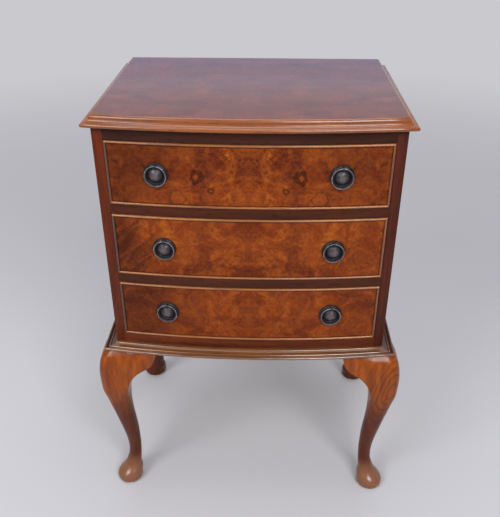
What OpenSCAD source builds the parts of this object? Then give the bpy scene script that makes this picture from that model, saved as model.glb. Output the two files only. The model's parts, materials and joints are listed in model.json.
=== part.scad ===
// Bedside chest of three drawers: burr walnut, bow front, moulded top and base, four cabriole legs.
// The floor is z = 0 and the front faces -Y. The origin is under the middle of the overall box.

/* [Carcass] */
// Width across the carcass sides
carcass_w = 430; // [360:1:520]
// Depth of the carcass at its sides, front corner to back
carcass_d = 288; // [240:1:360]
// How far the middle of the front bows out past its corners
front_bow = 15.2; // [8:0.2:24]
// Thickness of the carcass sides
side_t = 15; // [12:0.5:20]
// Depth of the rails between the drawers, from the front corners
rail_d = 45; // [30:1:70]
// Height of the frieze rail under the top
frieze_h = 19; // [14:0.5:32]
// Height of each rail between two drawers
rail_h = 15.5; // [12:0.5:24]
// Height of the rail under the lowest drawer
bottom_rail_h = 17; // [14:0.5:30]
// Length of the stub tenon at each rail end
tenon_len = 8; // [4:0.5:10]
// Thickness of the stub tenons
tenon_t = 9; // [6:0.5:11]
// Thickness of the carcass bottom board
bottom_t = 12; // [8:0.5:13]
// Thickness of the plywood back panel
back_t = 4; // [3:0.5:8]
// Width of the back panel's rebate in each side
back_rebate = 6; // [4:0.5:9]
// Thickness of the rail across the back, under the top
back_rail_t = 18; // [12:1:24]
// Height of the rail across the back, under the top
back_rail_h = 32; // [20:1:45]
// Width of the drawer runners and kickers
runner_w = 14; // [8:0.5:24]
// Height of the runners between the drawers
runner_h = 13; // [6:0.5:15]

/* [Top] */
// Thickness of the top board
top_t = 16; // [14:0.5:24]
// Overhang of the top past the carcass sides
top_side_over = 11.5; // [8:0.5:26]
// Overhang of the top past the bowed front
top_front_over = 12.5; // [8:0.5:26]
// Overhang of the top past the carcass back, which clears a skirting board
top_back_over = 22; // [0:0.5:26]
// Radius of the round on the top's upper edge
top_round_r = 5; // [3:0.25:6]
// Width of the small fillet under that round
top_fillet_w = 1.6; // [1:0.1:3]
// Radius of the cove in the top's edge
top_cove_r = 4; // [3:0.25:5]
// Radius of the lower bead on the top's edge
top_bead_r = 3.1; // [2.5:0.1:3.6]

/* [Drawers] */
// Height of the upper drawer's opening
upper_open_h = 96.5; // [80:0.5:130]
// Height of the middle drawer's opening
middle_open_h = 101.5; // [80:0.5:130]
// Height of the lower drawer's opening
lower_open_h = 98; // [80:0.5:130]
// Gap round a drawer front in its opening
front_gap = 0.7; // [0.4:0.1:1.5]
// Gap under the drawer sides, on the rails and runners
run_gap = 0.3; // [0.2:0.05:0.6]
// Thickness of the drawer fronts
front_t = 20; // [16:0.5:24]
// Width of the cock bead round each drawer front
bead_w = 3.4; // [2.4:0.1:5]
// How far the cock bead stands proud of the veneer
bead_proud = 1.9; // [1.3:0.1:3]
// Depth of the rebate that holds the cock bead
bead_seat = 6; // [4:0.5:7.5]
// Thickness of the drawer sides and backs
drawer_side_t = 9; // [7:0.5:12]
// How much lower a drawer's sides are than its opening
side_drop = 6; // [3:0.5:12]
// Thickness of the drawer bottoms
drawer_bottom_t = 4; // [3:0.5:6]
// Height of the drawer bottoms above the drawer side's lower edge
drawer_bottom_up = 8; // [6.5:0.5:12]
// Depth of the grooves that hold the drawer bottoms
groove_d = 4.5; // [3:0.5:5.5]
// Space behind the drawers, in front of the back rail
drawer_back_space = 8; // [3:0.5:20]
// Wood left in front of the dovetails
lap_t = 8.5; // [7:0.5:11]
// Number of dovetails at each drawer corner
tails = 4; // [2:1:5]

/* [Handles] */
// Distance between the two handles of the upper drawer
upper_handle_spacing = 257; // [180:1:300]
// Distance between the two handles of the middle drawer
middle_handle_spacing = 248; // [180:1:300]
// Distance between the two handles of the lower drawer
lower_handle_spacing = 253; // [180:1:300]
// How far the upper drawer's handles sit above the middle of its front
upper_handle_up = 1.5; // [-6:0.5:10]
// How far the middle drawer's handles sit above the middle of its front
middle_handle_up = -1.5; // [-6:0.5:10]
// How far the lower drawer's handles sit above the middle of its front
lower_handle_up = 0.5; // [-6:0.5:10]
// Diameter of the round back plate
plate_d = 35; // [34:0.5:40]
// Thickness of the back plate at its rim
plate_t = 3; // [2:0.1:4]
// Diameter of the domed boss
boss_d = 24; // [16:0.5:25]
// Height of the domed boss above the drawer front
boss_h = 9; // [6:0.25:10]
// Diameter of the ring's wire
wire_d = 3.6; // [3:0.1:4]
// Outer diameter of the ring
ring_d = 32.5; // [31:0.5:34]
// Width of the lug that carries the ring
lug_w = 3; // [2.5:0.25:5]
// Clearance between the ring, its lug and the plate
ring_gap = 0.35; // [0.25:0.05:0.5]
// Diameter of the threaded stud behind the plate
stud_d = 4; // [3:0.5:5]
// Length of stud left past the nut
stud_tail = 2; // [1:0.5:4]
// Width of the nut across its flats
nut_w = 7; // [6.5:0.5:9]
// Thickness of the nut
nut_t = 3; // [2:0.25:5]
// Diameter of the washer under the nut
washer_d = 11; // [9.5:0.5:14]
// Thickness of the washer
washer_t = 1; // [0.6:0.1:1.5]

/* [Base] */
// Thickness of the base frame and its moulding
base_t = 7; // [6.5:0.1:12]
// How far the base moulding stands out past the carcass sides and back
base_side_out = 18; // [17.6:0.1:28]
// How far the base moulding stands out past the bowed front
base_front_out = 22; // [17.6:0.1:30]
// Width of the cove in the base moulding's edge
base_cove_w = 6.7; // [5:0.1:8]
// Radius of the small bead below that cove
base_small_r = 1.6; // [1.2:0.1:2]
// Width of the flat between the base moulding's two beads
base_quirk_w = 2.1; // [1:0.1:3]
// Radius of the large bead at the base moulding's lower edge
base_bead_r = 2.3; // [1.8:0.1:2.8]
// Width of the base moulding strips
base_strip_w = 34; // [28:0.5:40]

/* [Legs] */
// Height of the legs, from the floor to the base moulding
leg_h = 304; // [240:1:380]
// How far the knee stands out past the carcass corner
knee_out = 32; // [26:0.5:40]
// How far the leg's top stands out past the carcass corner
shoulder_out = 16; // [10:0.5:17]
// How far the leg's square top runs in behind the carcass corner
post_in = 19; // [14:0.5:24]
// Diameter of the ankle
ankle_d = 22.5; // [18:0.5:28]
// How far the ankle's outer side stands out past the carcass corner
ankle_out = 4.5; // [2:0.5:8]
// Diameter of the pad foot
pad_d = 47; // [40:0.5:54]
// How far the pad foot's middle stands out past the carcass corner
pad_out = 5; // [2:0.5:8]
// Height of the pad foot
pad_h = 24; // [18:0.5:30]
// Length of each shaped ear beside a knee
ear_len = 45; // [28:0.5:60]
// Depth of an ear where it meets the leg
ear_drop = 62; // [40:1:70]
// How far an ear's back lies behind the carcass face
ear_back = 2; // [0:0.5:8]
// Length of the corner block's arms behind the ears
block_arm = 17; // [12:0.5:26]
// Height of the corner blocks
block_h = 34; // [20:1:50]
// How far the screws in the corner blocks run into the carcass bottom
corner_screw_bite = 7.5; // [4:0.5:8]
// Diameter of the screws in the corner blocks
corner_screw_d = 4; // [3:0.5:5]

/* [Hidden] */
$fn = 48;

// Colours
burr = [0.60, 0.29, 0.12];
walnut = [0.47, 0.22, 0.12];
dark_walnut = [0.27, 0.15, 0.12];
moulding_brown = [0.66, 0.40, 0.24];
leg_brown = [0.62, 0.31, 0.13];
drawer_wood = [0.72, 0.56, 0.38];
plywood = [0.70, 0.58, 0.44];
old_brass = [0.24, 0.23, 0.22];
steel = [0.55, 0.55, 0.55];

// The bow: one large arc through the front corners, shared by every bowed piece
half_w = carcass_w / 2;
bow_r = (half_w * half_w + front_bow * front_bow) / (2 * front_bow);
bow_y = bow_r - front_bow;
bow_fn = 720;

// Heights
base_z = leg_h;
carcass_z = base_z + base_t;
lower_z = carcass_z + bottom_rail_h;
lower_rail_z = lower_z + lower_open_h;
middle_z = lower_rail_z + rail_h;
upper_rail_z = middle_z + middle_open_h;
upper_z = upper_rail_z + rail_h;
frieze_z = upper_z + upper_open_h;
top_z = frieze_z + frieze_h;

// The overall box in Y sets where the carcass front corners lie
front_most = front_bow + max(base_front_out, top_front_over);
back_most = carcass_d + knee_out;
corner_y = (front_most - back_most) / 2;

// Openings for the drawers: floor height and height of each, upper to lower
open_w = carcass_w - 2 * side_t;
open_z = [upper_z, middle_z, lower_z];
open_h = [upper_open_h, middle_open_h, lower_open_h];
inside_y = carcass_d - back_t;
drawer_end_y = inside_y - back_rail_t - drawer_back_space;
drawer_half = open_w / 2 - front_gap;
drawer_inner = drawer_half - drawer_side_t;

// Small things that carry no size of their own
eps = 1;
runner_glue = 0.05;

// Moves a piece from the corner frame to the origin
module placed() translate([0, corner_y, 0]) children();

// Points on an arc, by centre, radii and angles
function arc(cx, cy, rx, ry, from, to, steps) =
    [for (i = [0 : steps]) let (a = from + (to - from) * i / steps) [cx + rx * cos(a), cy + ry * sin(a)]];

// Where an arc of the bow crosses x
function bow_at(r, x) = bow_y - sqrt(r * r - x * x);

module bow_disc(r, z, h) translate([0, bow_y, z]) cylinder(r = r, h = h, $fn = bow_fn);

// A block with a bowed front and a flat back
module bowed_block(x0, x1, r, y_back, z, h) {
    y_front = -front_bow - 3 * base_front_out;
    intersection() {
        bow_disc(r, z, h);
        translate([x0, y_front, z]) cube([x1 - x0, y_back - y_front, h]);
    }
}

// A slab between two arcs of the bow
module bowed_slab(x0, x1, r_out, r_in, z, h) {
    difference() {
        bowed_block(x0, x1, r_out, rail_d + front_bow, z, h);
        bow_disc(r_in, z - eps, h + 2 * eps);
    }
}

// Top board

// The top's edge, from its flat upper face out and down to its underside: [out, down]
top_fillet_h = 1.2;
top_bead_x = top_round_r + top_fillet_w + top_cove_r + 0.6 * top_bead_r;
top_edge_w = top_bead_x + top_bead_r;
top_step = top_round_r + top_fillet_h;
top_edge = concat(
    arc(0, top_round_r, top_round_r, -top_round_r, 90, 0, 6),
    [[top_round_r, top_step]],
    arc(top_round_r + top_fillet_w + top_cove_r, top_step, -top_cove_r, top_cove_r * 0.85, 0, 80, 5),
    arc(top_bead_x, top_t - top_bead_r, top_bead_r, -top_bead_r, 125, -90, 10));

module top_board() {
    disc_r = bow_r + top_front_over - top_edge_w;
    half_flat = half_w + top_side_over - top_edge_w;
    right_end = [for (p = top_edge) [half_flat + p[0], top_t - p[1]]];
    left_end = [for (i = [len(top_edge) - 1 : -1 : 0]) [-half_flat - top_edge[i][0], top_t - top_edge[i][1]]];
    y_front = -front_bow - 3 * top_front_over;
    color(burr) placed() translate([0, 0, top_z]) intersection() {
        translate([0, bow_y, 0]) rotate_extrude($fn = bow_fn)
            polygon(concat([[0, 0], [0, top_t]], [for (p = top_edge) [disc_r + p[0], top_t - p[1]]]));
        translate([0, carcass_d + top_back_over, 0]) rotate([90, 0, 0])
            linear_extrude(carcass_d + top_back_over - y_front) polygon(concat(right_end, left_end));
    }
}

// Base frame: a board with moulded strips on its front and sides, mitred at the corners

// The strip's edge, from its flat upper face out and down to its underside: [out, down]
base_lip_w = 0.5;
base_lip_h = 0.6;
base_cove_h = 2.4;
base_cove_x = base_lip_w + base_cove_w;
base_small_x = base_cove_x + base_small_r + 0.2;
base_quirk_x = base_small_x + base_small_r;
base_bead_x = base_quirk_x + base_quirk_w + base_bead_r;
base_edge_w = base_bead_x + base_bead_r;
base_edge = concat(
    [[0, 0]],
    arc(base_cove_x, base_lip_h, -base_cove_w, base_cove_h, 0, 85, 5),
    arc(base_small_x, 2 * base_small_r, base_small_r, -base_small_r, 180, 0, 6),
    [[base_quirk_x, min(3 * base_small_r, base_t - 1)]],
    arc(base_bead_x, base_t - base_bead_r, base_bead_r, -base_bead_r, 170, -90, 9));

base_half = half_w + base_side_out;
base_back_y = carcass_d + base_side_out;
base_front_r = bow_r + base_front_out;
base_corner_y = bow_at(base_front_r, base_half);

// The mitres halve the angle between the bowed front and the straight sides
base_turn = asin(base_half / base_front_r);
base_inner_x = base_half - base_strip_w;
base_inner_y = base_corner_y + base_strip_w * cos(base_turn) / (1 + sin(base_turn));

// Section of a strip with its outer face at x = 0: flat inner part, then the moulded edge
module base_section(inner_w) {
    polygon(concat(
        [[-inner_w, 0], [-inner_w, base_t]],
        [for (p = base_edge) [p[0] - base_edge_w, base_t - p[1]]]));
}

// Prism over a plan outline, through the base frame's height
module base_prism(plan) translate([0, 0, base_z - eps]) linear_extrude(base_t + 2 * eps) polygon(plan);

// How far a plan outline runs on past a mitred corner, along the mitre
mitre_run = base_strip_w;
mitre_dx = mitre_run;
mitre_dy = -mitre_run * cos(base_turn) / (1 + sin(base_turn));

module base_moulding_front() {
    front_y = -front_bow - 2 * base_front_out;
    color(moulding_brown) placed() intersection() {
        translate([0, bow_y, base_z]) rotate_extrude($fn = bow_fn)
            translate([base_front_r, 0]) base_section(base_inner_y + front_bow + 2 * base_front_out);
        base_prism([
            [-base_inner_x, base_inner_y], [-base_half - mitre_dx, base_corner_y + mitre_dy],
            [-base_half - mitre_dx, front_y], [base_half + mitre_dx, front_y],
            [base_half + mitre_dx, base_corner_y + mitre_dy], [base_inner_x, base_inner_y]]);
    }
}

// The strip on the right, or on the left with side = -1
module base_moulding_side(side) {
    color(moulding_brown) placed() mirror([side < 0 ? 1 : 0, 0, 0]) intersection() {
        translate([base_half, base_back_y, base_z]) rotate([90, 0, 0])
            linear_extrude(base_back_y - base_corner_y - mitre_dy) base_section(base_strip_w);
        base_prism([
            [base_inner_x, base_inner_y], [base_half + mitre_dx, base_corner_y + mitre_dy],
            [base_half + mitre_dx, base_back_y + eps], [base_inner_x - eps, base_back_y + eps],
            [base_inner_x - eps, base_inner_y]]);
    }
}

module base_board() {
    color(dark_walnut) placed() difference() {
        translate([-base_inner_x, base_inner_y, base_z])
            cube([2 * base_inner_x, base_back_y - base_inner_y, base_t]);
        corner_screw_bores(base_z - eps, base_t + 2 * eps, corner_screw_d);
    }
}

// Carcass

rail_tenon_y = rail_d / 2;
rail_tenon_d = rail_d / 3;

// Both tenons of a rail, as one bar right through
module tenon_bar(z, h) {
    translate([-open_w / 2 - tenon_len, rail_tenon_y - rail_tenon_d / 2, z + (h - tenon_t) / 2])
        cube([open_w + 2 * tenon_len, rail_tenon_d, tenon_t]);
}

// A rail across the front: bowed face, flat back, a stub tenon at each end
module front_rail(z, h) {
    color(dark_walnut) placed() union() {
        bowed_block(-open_w / 2, open_w / 2, bow_r, rail_d, z, h);
        tenon_bar(z, h);
    }
}

// The lowest rail also takes the two front corner screws
module bottom_rail() {
    color(dark_walnut) difference() {
        front_rail(carcass_z, bottom_rail_h);
        placed() corner_screw_bores(carcass_z - eps, bottom_rail_h, corner_screw_d);
    }
}

module side_right() {
    color(walnut) placed() difference() {
        bowed_block(open_w / 2, half_w, bow_r, carcass_d, carcass_z, top_z - carcass_z);
        tenon_bar(frieze_z, frieze_h);
        tenon_bar(upper_rail_z, rail_h);
        tenon_bar(lower_rail_z, rail_h);
        tenon_bar(carcass_z, bottom_rail_h);
        translate([open_w / 2 - eps, inside_y, carcass_z - eps])
            cube([back_rebate + eps, back_t + eps, top_z - carcass_z + 2 * eps]);
    }
}

module side_left() mirror([1, 0, 0]) side_right();

module back_panel() {
    color(plywood) placed() difference() {
        translate([-open_w / 2 - back_rebate, inside_y, carcass_z])
            cube([open_w + 2 * back_rebate, back_t, top_z - carcass_z]);
        back_pin_places() cylinder(d = pin_d, h = 2 * back_t + 2 * eps, center = true, $fn = 16);
    }
}

module back_rail() {
    color(drawer_wood) placed() difference() {
        translate([-open_w / 2, inside_y - back_rail_t, top_z - back_rail_h])
            cube([open_w, back_rail_t, back_rail_h]);
        back_pin_places() cylinder(d = pin_d, h = 2 * pin_len, center = true, $fn = 16);
    }
}

module bottom_board() {
    color(drawer_wood) placed() difference() {
        translate([-open_w / 2, rail_d, carcass_z]) cube([open_w, inside_y - rail_d, bottom_t]);
        back_pin_places() cylinder(d = pin_d, h = 2 * pin_len, center = true, $fn = 16);
        corner_screw_bores(carcass_z - eps, bottom_t + 2 * eps, corner_screw_d);
    }
}

// A strip along the inside of each carcass side
module side_strips(z, h, y_end) {
    for (side = [-1, 1])
        translate([side * (open_w / 2 - runner_w / 2) - runner_w / 2 - side * runner_glue, rail_d, z])
            cube([runner_w, y_end - rail_d, h]);
}

module drawer_runners() {
    color(drawer_wood) placed() {
        side_strips(upper_z - runner_h, runner_h, inside_y);
        side_strips(middle_z - runner_h, runner_h, inside_y);
        side_strips(carcass_z + bottom_t, bottom_rail_h - bottom_t, inside_y);
    }
}

module kickers() {
    color(drawer_wood) placed() side_strips(frieze_z, frieze_h, inside_y - back_rail_t);
}

// Two blocks on each rail that the drawer front's back comes up against
stop_w = 24;
stop_d = 18;
stop_h = 5;
stop_x = 60;

module drawer_stops() {
    stop_y = bow_at(bow_r - front_t, stop_x + stop_w / 2) + run_gap;
    color(drawer_wood) placed() for (z = open_z, side = [-1, 1])
        translate([side * stop_x - stop_w / 2, stop_y, z]) cube([stop_w, stop_d, stop_h]);
}

// Round-headed pins that hold the back panel to the back rail and the bottom board
pin_d = 1.8;
pin_head_d = 4.5;
pin_head_h = 1.2;
pin_len = 12;
pins_across = 5;

module back_pin_places() {
    pin_span = open_w - 4 * runner_w;
    for (i = [0 : pins_across - 1], z = [top_z - back_rail_h / 2, carcass_z + bottom_t / 2])
        translate([-pin_span / 2 + pin_span * i / (pins_across - 1), carcass_d, z]) rotate([90, 0, 0])
            children();
}

module back_pins() {
    color(steel) placed() back_pin_places() union() {
        cylinder(d = pin_d, h = pin_len, $fn = 16);
        translate([0, 0, -pin_head_h]) cylinder(d1 = pin_head_d / 2, d2 = pin_head_d, h = pin_head_h, $fn = 24);
    }
}

// Cabriole legs

// Rows up the leg: height, outer reach, inner reach (both past the carcass corner),
// then how round the outer, the two side and the inner corners of its section are
pad_r = pad_d / 2;
ankle_in = ankle_out - ankle_d;
shin_h = leg_h - pad_h;
calf_in = ankle_in + 0.215 * ankle_d;
function out_by(share) = ankle_out + (knee_out - ankle_out) * share;
function up_by(share) = pad_h + shin_h * share;
ear_foot_z = leg_h - ear_drop;
leg_rows = [
    [0, pad_out + 0.80 * pad_r, pad_out - 0.80 * pad_r, 1, 1, 1],
    [0.10 * pad_h, pad_out + 0.94 * pad_r, pad_out - 0.94 * pad_r, 1, 1, 1],
    [0.30 * pad_h, pad_out + pad_r, pad_out - pad_r, 1, 1, 1],
    [0.54 * pad_h, pad_out + 0.97 * pad_r, pad_out - 0.99 * pad_r, 1, 1, 1],
    [0.77 * pad_h, pad_out + 0.82 * pad_r, pad_out - pad_r, 1, 1, 1],
    [up_by(0), pad_out + 0.60 * pad_r, pad_out - 1.01 * pad_r, 1, 1, 1],
    [up_by(0.028), out_by(0.30), ankle_in + 1.6, 1, 1, 1],
    [up_by(0.056), out_by(0.175), ankle_in + 1.3, 1, 1, 1],
    [up_by(0.083), out_by(0.07), ankle_in + 0.9, 1, 1, 1],
    [up_by(0.111), out_by(0.016), ankle_in + 0.5, 1, 1, 1],
    [up_by(0.167), out_by(0), ankle_in, 1, 1, 1],
    [up_by(0.24), out_by(0.065), ankle_in, 1, 1, 1],
    [up_by(0.326), out_by(0.205), ankle_in + 0.4, 0.95, 0.95, 0.95],
    [up_by(0.413), out_by(0.36), calf_in - 2.8, 0.9, 0.9, 0.9],
    [up_by(0.497), out_by(0.51), calf_in - 0.9, 0.85, 0.85, 0.85],
    [up_by(0.587), out_by(0.69), calf_in, 0.8, 0.75, 0.75],
    [up_by(0.65), out_by(0.81), calf_in - 0.3, 0.75, 0.6, 0.6],
    [up_by(0.698), out_by(0.925), -0.76 * post_in, 0.7, 0.4, 0.4],
    [ear_foot_z - 6, out_by(0.98), -0.96 * post_in, 0.7, 0.2, 0.2],
    [ear_foot_z, out_by(0.99), -post_in, 0.7, 0.02, 0.06],
    [up_by(0.837), out_by(1), -post_in, 0.7, 0.02, 0.06],
    [up_by(0.906), out_by(0.92), -post_in, 0.7, 0.02, 0.06],
    [up_by(0.958), out_by(0.74), -post_in, 0.7, 0.02, 0.06],
    [up_by(0.983), out_by(0.56), -post_in, 0.7, 0.02, 0.06],
    [leg_h, shoulder_out, -post_in, 0.7, 0.02, 0.06]];
leg_steps = 2;
corner_points = 5;

// Smooth value of one column between rows i and i + 1
function slope(i, c) =
    let (a = max(i - 1, 0), b = min(i + 1, len(leg_rows) - 1))
    (leg_rows[b][c] - leg_rows[a][c]) / (leg_rows[b][0] - leg_rows[a][0]);
function between(i, t, c) =
    let (h = leg_rows[i + 1][0] - leg_rows[i][0], t2 = t * t, t3 = t2 * t)
    (2 * t3 - 3 * t2 + 1) * leg_rows[i][c] + (t3 - 2 * t2 + t) * h * slope(i, c)
    + (3 * t2 - 2 * t3) * leg_rows[i + 1][c] + (t3 - t2) * h * slope(i + 1, c);
function leg_row_at(z, i = 0) =
    i >= len(leg_rows) - 2 || z < leg_rows[i + 1][0] ? i : leg_row_at(z, i + 1);
function leg_face(z) =
    let (i = leg_row_at(z), t = (z - leg_rows[i][0]) / (leg_rows[i + 1][0] - leg_rows[i][0])) between(i, t, 1);

// One section: a square from the inner to the outer reach, each corner rounded by its own share
function leg_ring(z, outer, inner, share_out, share_side, share_in) =
    let (h = (outer - inner) / 2, c = (outer + inner) / 2, shares = [share_out, share_side, share_in, share_side])
    [for (k = [0 : 3], j = [0 : corner_points - 1])
        let (
            r = h * shares[k],
            a = 90 * k + 90 * j / (corner_points - 1),
            sx = (k == 0 || k == 3) ? 1 : -1,
            sy = k < 2 ? 1 : -1)
        [c + sx * (h - r) + r * cos(a), c + sy * (h - r) + r * sin(a), z]];

// Closed skin over a stack of rings that all have the same number of points.
// The two end caps fan out from the point numbered hub
module skin(rings, hub = 0) {
    n = len(rings[0]);
    last = len(rings) - 1;
    points = [for (ring = rings, p = ring) p];
    walls = [for (k = [0 : last - 1], j = [0 : n - 1])
        let (a = k * n + j, b = k * n + (j + 1) % n) each [[a, a + n, b], [b, a + n, b + n]]];
    first_cap = [for (j = [1 : n - 2]) [hub, (hub + j) % n, (hub + j + 1) % n]];
    last_cap = [for (f = first_cap) [last * n + f[0], last * n + f[2], last * n + f[1]]];
    polyhedron(points, concat(walls, first_cap, last_cap), convexity = 4);
}

leg_rings = concat(
    [for (i = [0 : len(leg_rows) - 2], s = [0 : leg_steps - 1])
        let (t = s / leg_steps, z = leg_rows[i][0] + t * (leg_rows[i + 1][0] - leg_rows[i][0]))
        leg_ring(z, between(i, t, 1), between(i, t, 2), between(i, t, 3), between(i, t, 4), between(i, t, 5))],
    [let (r = leg_rows[len(leg_rows) - 1]) leg_ring(r[0], r[1], r[2], r[3], r[4], r[5])]);

// Moves a shape from the frame of one carcass corner, x and y both outward, to its place.
// side is 1 on the right and -1 on the left; end is -1 at the front and 1 at the back
module at_corner(side, end) {
    placed() translate([side * half_w, end < 0 ? 0 : carcass_d, 0])
        mirror([side < 0 ? 1 : 0, 0, 0]) mirror([0, end < 0 ? 1 : 0, 0]) children();
}

module leg(side, end) color(leg_brown) at_corner(side, end) skin(leg_rings);

// Ears

ear_columns = 11;
ear_face_rows = 8;
// Rows of an ear's face lie closer together towards its top, where the knee rolls over
ear_row_power = 1.6;
ear_fit = 0.1;

ear_sweep = 0.38;

// How deep an ear hangs at a distance s from the leg: it sweeps up from the leg by the share ear_sweep
// of its depth, runs on nearly level and turns up round its end
function ear_depth(s) =
    let (t = min(s, ear_len) / ear_len)
    ear_drop * (1 - ear_sweep * (1 - pow(1 - t, 4))) * sqrt(max(0, 1 - pow(t, 4)));

// One upright slice of an ear at s: down its face, then up its back
function ear_slice(s, end_face) =
    let (
        t = s / ear_len,
        w = t * t * (3 - 2 * t),
        depth = max(ear_depth(s), 0.12 * ear_drop),
        lip = min(3, depth / 4))
    concat(
        [for (j = [0 : ear_face_rows - 1])
            let (z = leg_h - (depth - lip) * pow(j / (ear_face_rows - 1), ear_row_power))
            [-post_in - ear_fit - s, leg_face(z) * (1 - w) + end_face * w, z]],
        [let (z = leg_h - depth) [-post_in - ear_fit - s, leg_face(z + lip) * (1 - w) + end_face * w - lip, z]],
        [[-post_in - ear_fit - s, -ear_back, leg_h - depth], [-post_in - ear_fit - s, -ear_back, leg_h]]);

// Slices lie closer together towards the rounded end
function ear_slices(end_face) =
    [for (k = [0 : ear_columns - 1]) ear_slice(ear_len * sin(90 * k / (ear_columns - 1)), end_face)];

// An ear's caps fan out from the foot of its back, clear of its straight end
module ear(end_face) skin(ear_slices(end_face), ear_face_rows + 1);

// An ear's rounded end lies a little further in under the base moulding than the leg's top does
ear_tuck = 1.5;
base_set_in = base_side_out - shoulder_out + ear_tuck;
ear_end_x = half_w - post_in - ear_len;
front_ear_face = -bow_at(base_front_r, ear_end_x) - base_set_in;
side_ear_face = base_side_out - base_set_in;

module front_ear(side) color(leg_brown) at_corner(side, -1) ear(front_ear_face);

// The same ear along the chest's side: swapping x and y mirrors it about the corner's diagonal
module side_ear(side, end) color(leg_brown) at_corner(side, end) mirror([1, -1, 0]) ear(side_ear_face);

// Corner blocks, behind the ears and under the base frame

block_in = post_in + block_arm;
screw_in = post_in + block_arm / 2;

module corner_screw_bores(z, h, d) {
    for (side = [-1, 1], end = [-1, 1])
        translate([side * (half_w - screw_in), end < 0 ? screw_in : carcass_d - screw_in, z])
            cylinder(d = d, h = h, $fn = 24);
}

module corner_blocks() {
    color(drawer_wood) for (side = [-1, 1], end = [-1, 1]) at_corner(side, end) difference() {
        translate([-block_in, -block_in, leg_h - block_h])
            cube([block_in - ear_back, block_in - ear_back, block_h]);
        translate([-post_in - ear_fit, -post_in - ear_fit, leg_h - block_h - eps])
            cube([2 * post_in, 2 * post_in, block_h + 2 * eps]);
        translate([-screw_in, -screw_in, leg_h - block_h - eps])
            cylinder(d = corner_screw_d, h = block_h + 2 * eps, $fn = 24);
    }
}

// Countersunk wood screws up through the corner blocks into the carcass bottom
screw_head_h = 3;

module corner_screws() {
    screw_len = block_h + base_t + corner_screw_bite;
    color(steel) placed() union() {
        corner_screw_bores(base_z - block_h, screw_len, corner_screw_d);
        for (side = [-1, 1], end = [-1, 1])
            translate([side * (half_w - screw_in), end < 0 ? screw_in : carcass_d - screw_in,
                       base_z - block_h - screw_head_h])
                cylinder(d1 = 1.4 * corner_screw_d, d2 = 2 * corner_screw_d, h = screw_head_h, $fn = 24);
    }
}

// Drawers: i is 0 for the upper one, 1 for the middle one and 2 for the lower one

function front_z(i) = open_z[i] + front_gap;
function front_h(i) = open_h[i] - 2 * front_gap;
function side_z(i) = open_z[i] + run_gap;
function side_h(i) = open_h[i] - run_gap - side_drop;
function panel_z(i) = side_z(i) + drawer_bottom_up;

// Dovetails: wide at the front, one above the other up the drawer side
tail_slope = 1.3;

module tail_prisms(i) {
    low = panel_z(i) + drawer_bottom_t;
    pitch = (side_z(i) + side_h(i) - low) / tails;
    neck = pitch * 0.28;
    y0 = -front_bow;
    y1 = front_t;
    for (k = [0 : tails - 1])
        translate([drawer_inner, 0, low + pitch * (k + 0.5)]) rotate([90, 0, 90]) linear_extrude(drawer_side_t)
            polygon([[y0, neck * tail_slope], [y1, neck], [y1, -neck], [y0, -neck * tail_slope]]);
}

module tails_right(i) intersection() {
    tail_prisms(i);
    bow_disc(bow_r - lap_t, side_z(i) - eps, side_h(i) + 2 * eps);
}

module tails_both(i) {
    tails_right(i);
    mirror([1, 0, 0]) tails_right(i);
}

module panel_blank(i) intersection() {
    bow_disc(bow_r - front_t + groove_d, panel_z(i), drawer_bottom_t);
    translate([-drawer_inner - groove_d, 0, panel_z(i)])
        cube([2 * (drawer_inner + groove_d), drawer_end_y, drawer_bottom_t]);
}

// Handle places on the bowed front: out from the drawer along each handle's own stud
handle_spacing = [upper_handle_spacing, middle_handle_spacing, lower_handle_spacing];
handle_up = [upper_handle_up, middle_handle_up, lower_handle_up];
function handle_turn(i) = asin(handle_spacing[i] / 2 / bow_r);
function handle_z(i) = front_z(i) + front_h(i) / 2 + handle_up[i];

module at_handle(i, side) {
    translate([0, bow_y, handle_z(i)]) rotate([0, 0, side * handle_turn(i)]) translate([0, -bow_r, 0])
        rotate([90, 0, 0]) children();
}

module drawer_front(i) {
    color(burr) placed() difference() {
        union() {
            bowed_slab(-drawer_half, drawer_half, bow_r - bead_seat, bow_r - front_t, front_z(i), front_h(i));
            bowed_slab(-drawer_half + bead_w, drawer_half - bead_w, bow_r, bow_r - front_t,
                       front_z(i) + bead_w, front_h(i) - 2 * bead_w);
        }
        tails_both(i);
        panel_blank(i);
        for (side = [-1, 1]) at_handle(i, side) cylinder(d = stud_d, h = 3 * front_t, center = true, $fn = 24);
    }
}

// The cock bead's section: a strip with a half round nose, [out, across], standing behind its face by seat
module bead_section(seat) {
    nose = bead_w / 2;
    polygon(concat([[-seat, nose], [-seat, -nose]], arc(bead_proud - nose, 0, nose, nose, -90, 90, 8)));
}

// Trapezium in the front view that mitres a bead's ends, length along x, with a glue line's gap
mitre_gap = 0.1;

module bead_mitre(length) {
    half = length / 2 - mitre_gap;
    rotate([90, 0, 0]) linear_extrude(6 * front_t, center = true)
        polygon([[-half, 0], [half, 0], [half - bead_w, bead_w], [-half + bead_w, bead_w]]);
}

module bead_along(i) intersection() {
    translate([0, bow_y, front_z(i) + bead_w / 2]) rotate_extrude($fn = bow_fn)
        translate([bow_r, 0]) bead_section(bead_seat);
    translate([0, 0, front_z(i)]) bead_mitre(2 * drawer_half);
}

// The upright bead is straight, and its back is hollowed to fit the bowed rebate
module bead_up(i) difference() {
    intersection() {
        translate([drawer_half - bead_w / 2, bow_at(bow_r, drawer_half - bead_w / 2), front_z(i)])
            linear_extrude(front_h(i)) rotate(-90) bead_section(bead_seat + eps);
        translate([drawer_half, 0, front_z(i) + front_h(i) / 2]) rotate([0, -90, 0]) bead_mitre(front_h(i));
    }
    bow_disc(bow_r - bead_seat, front_z(i) - eps, front_h(i) + 2 * eps);
}

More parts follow.
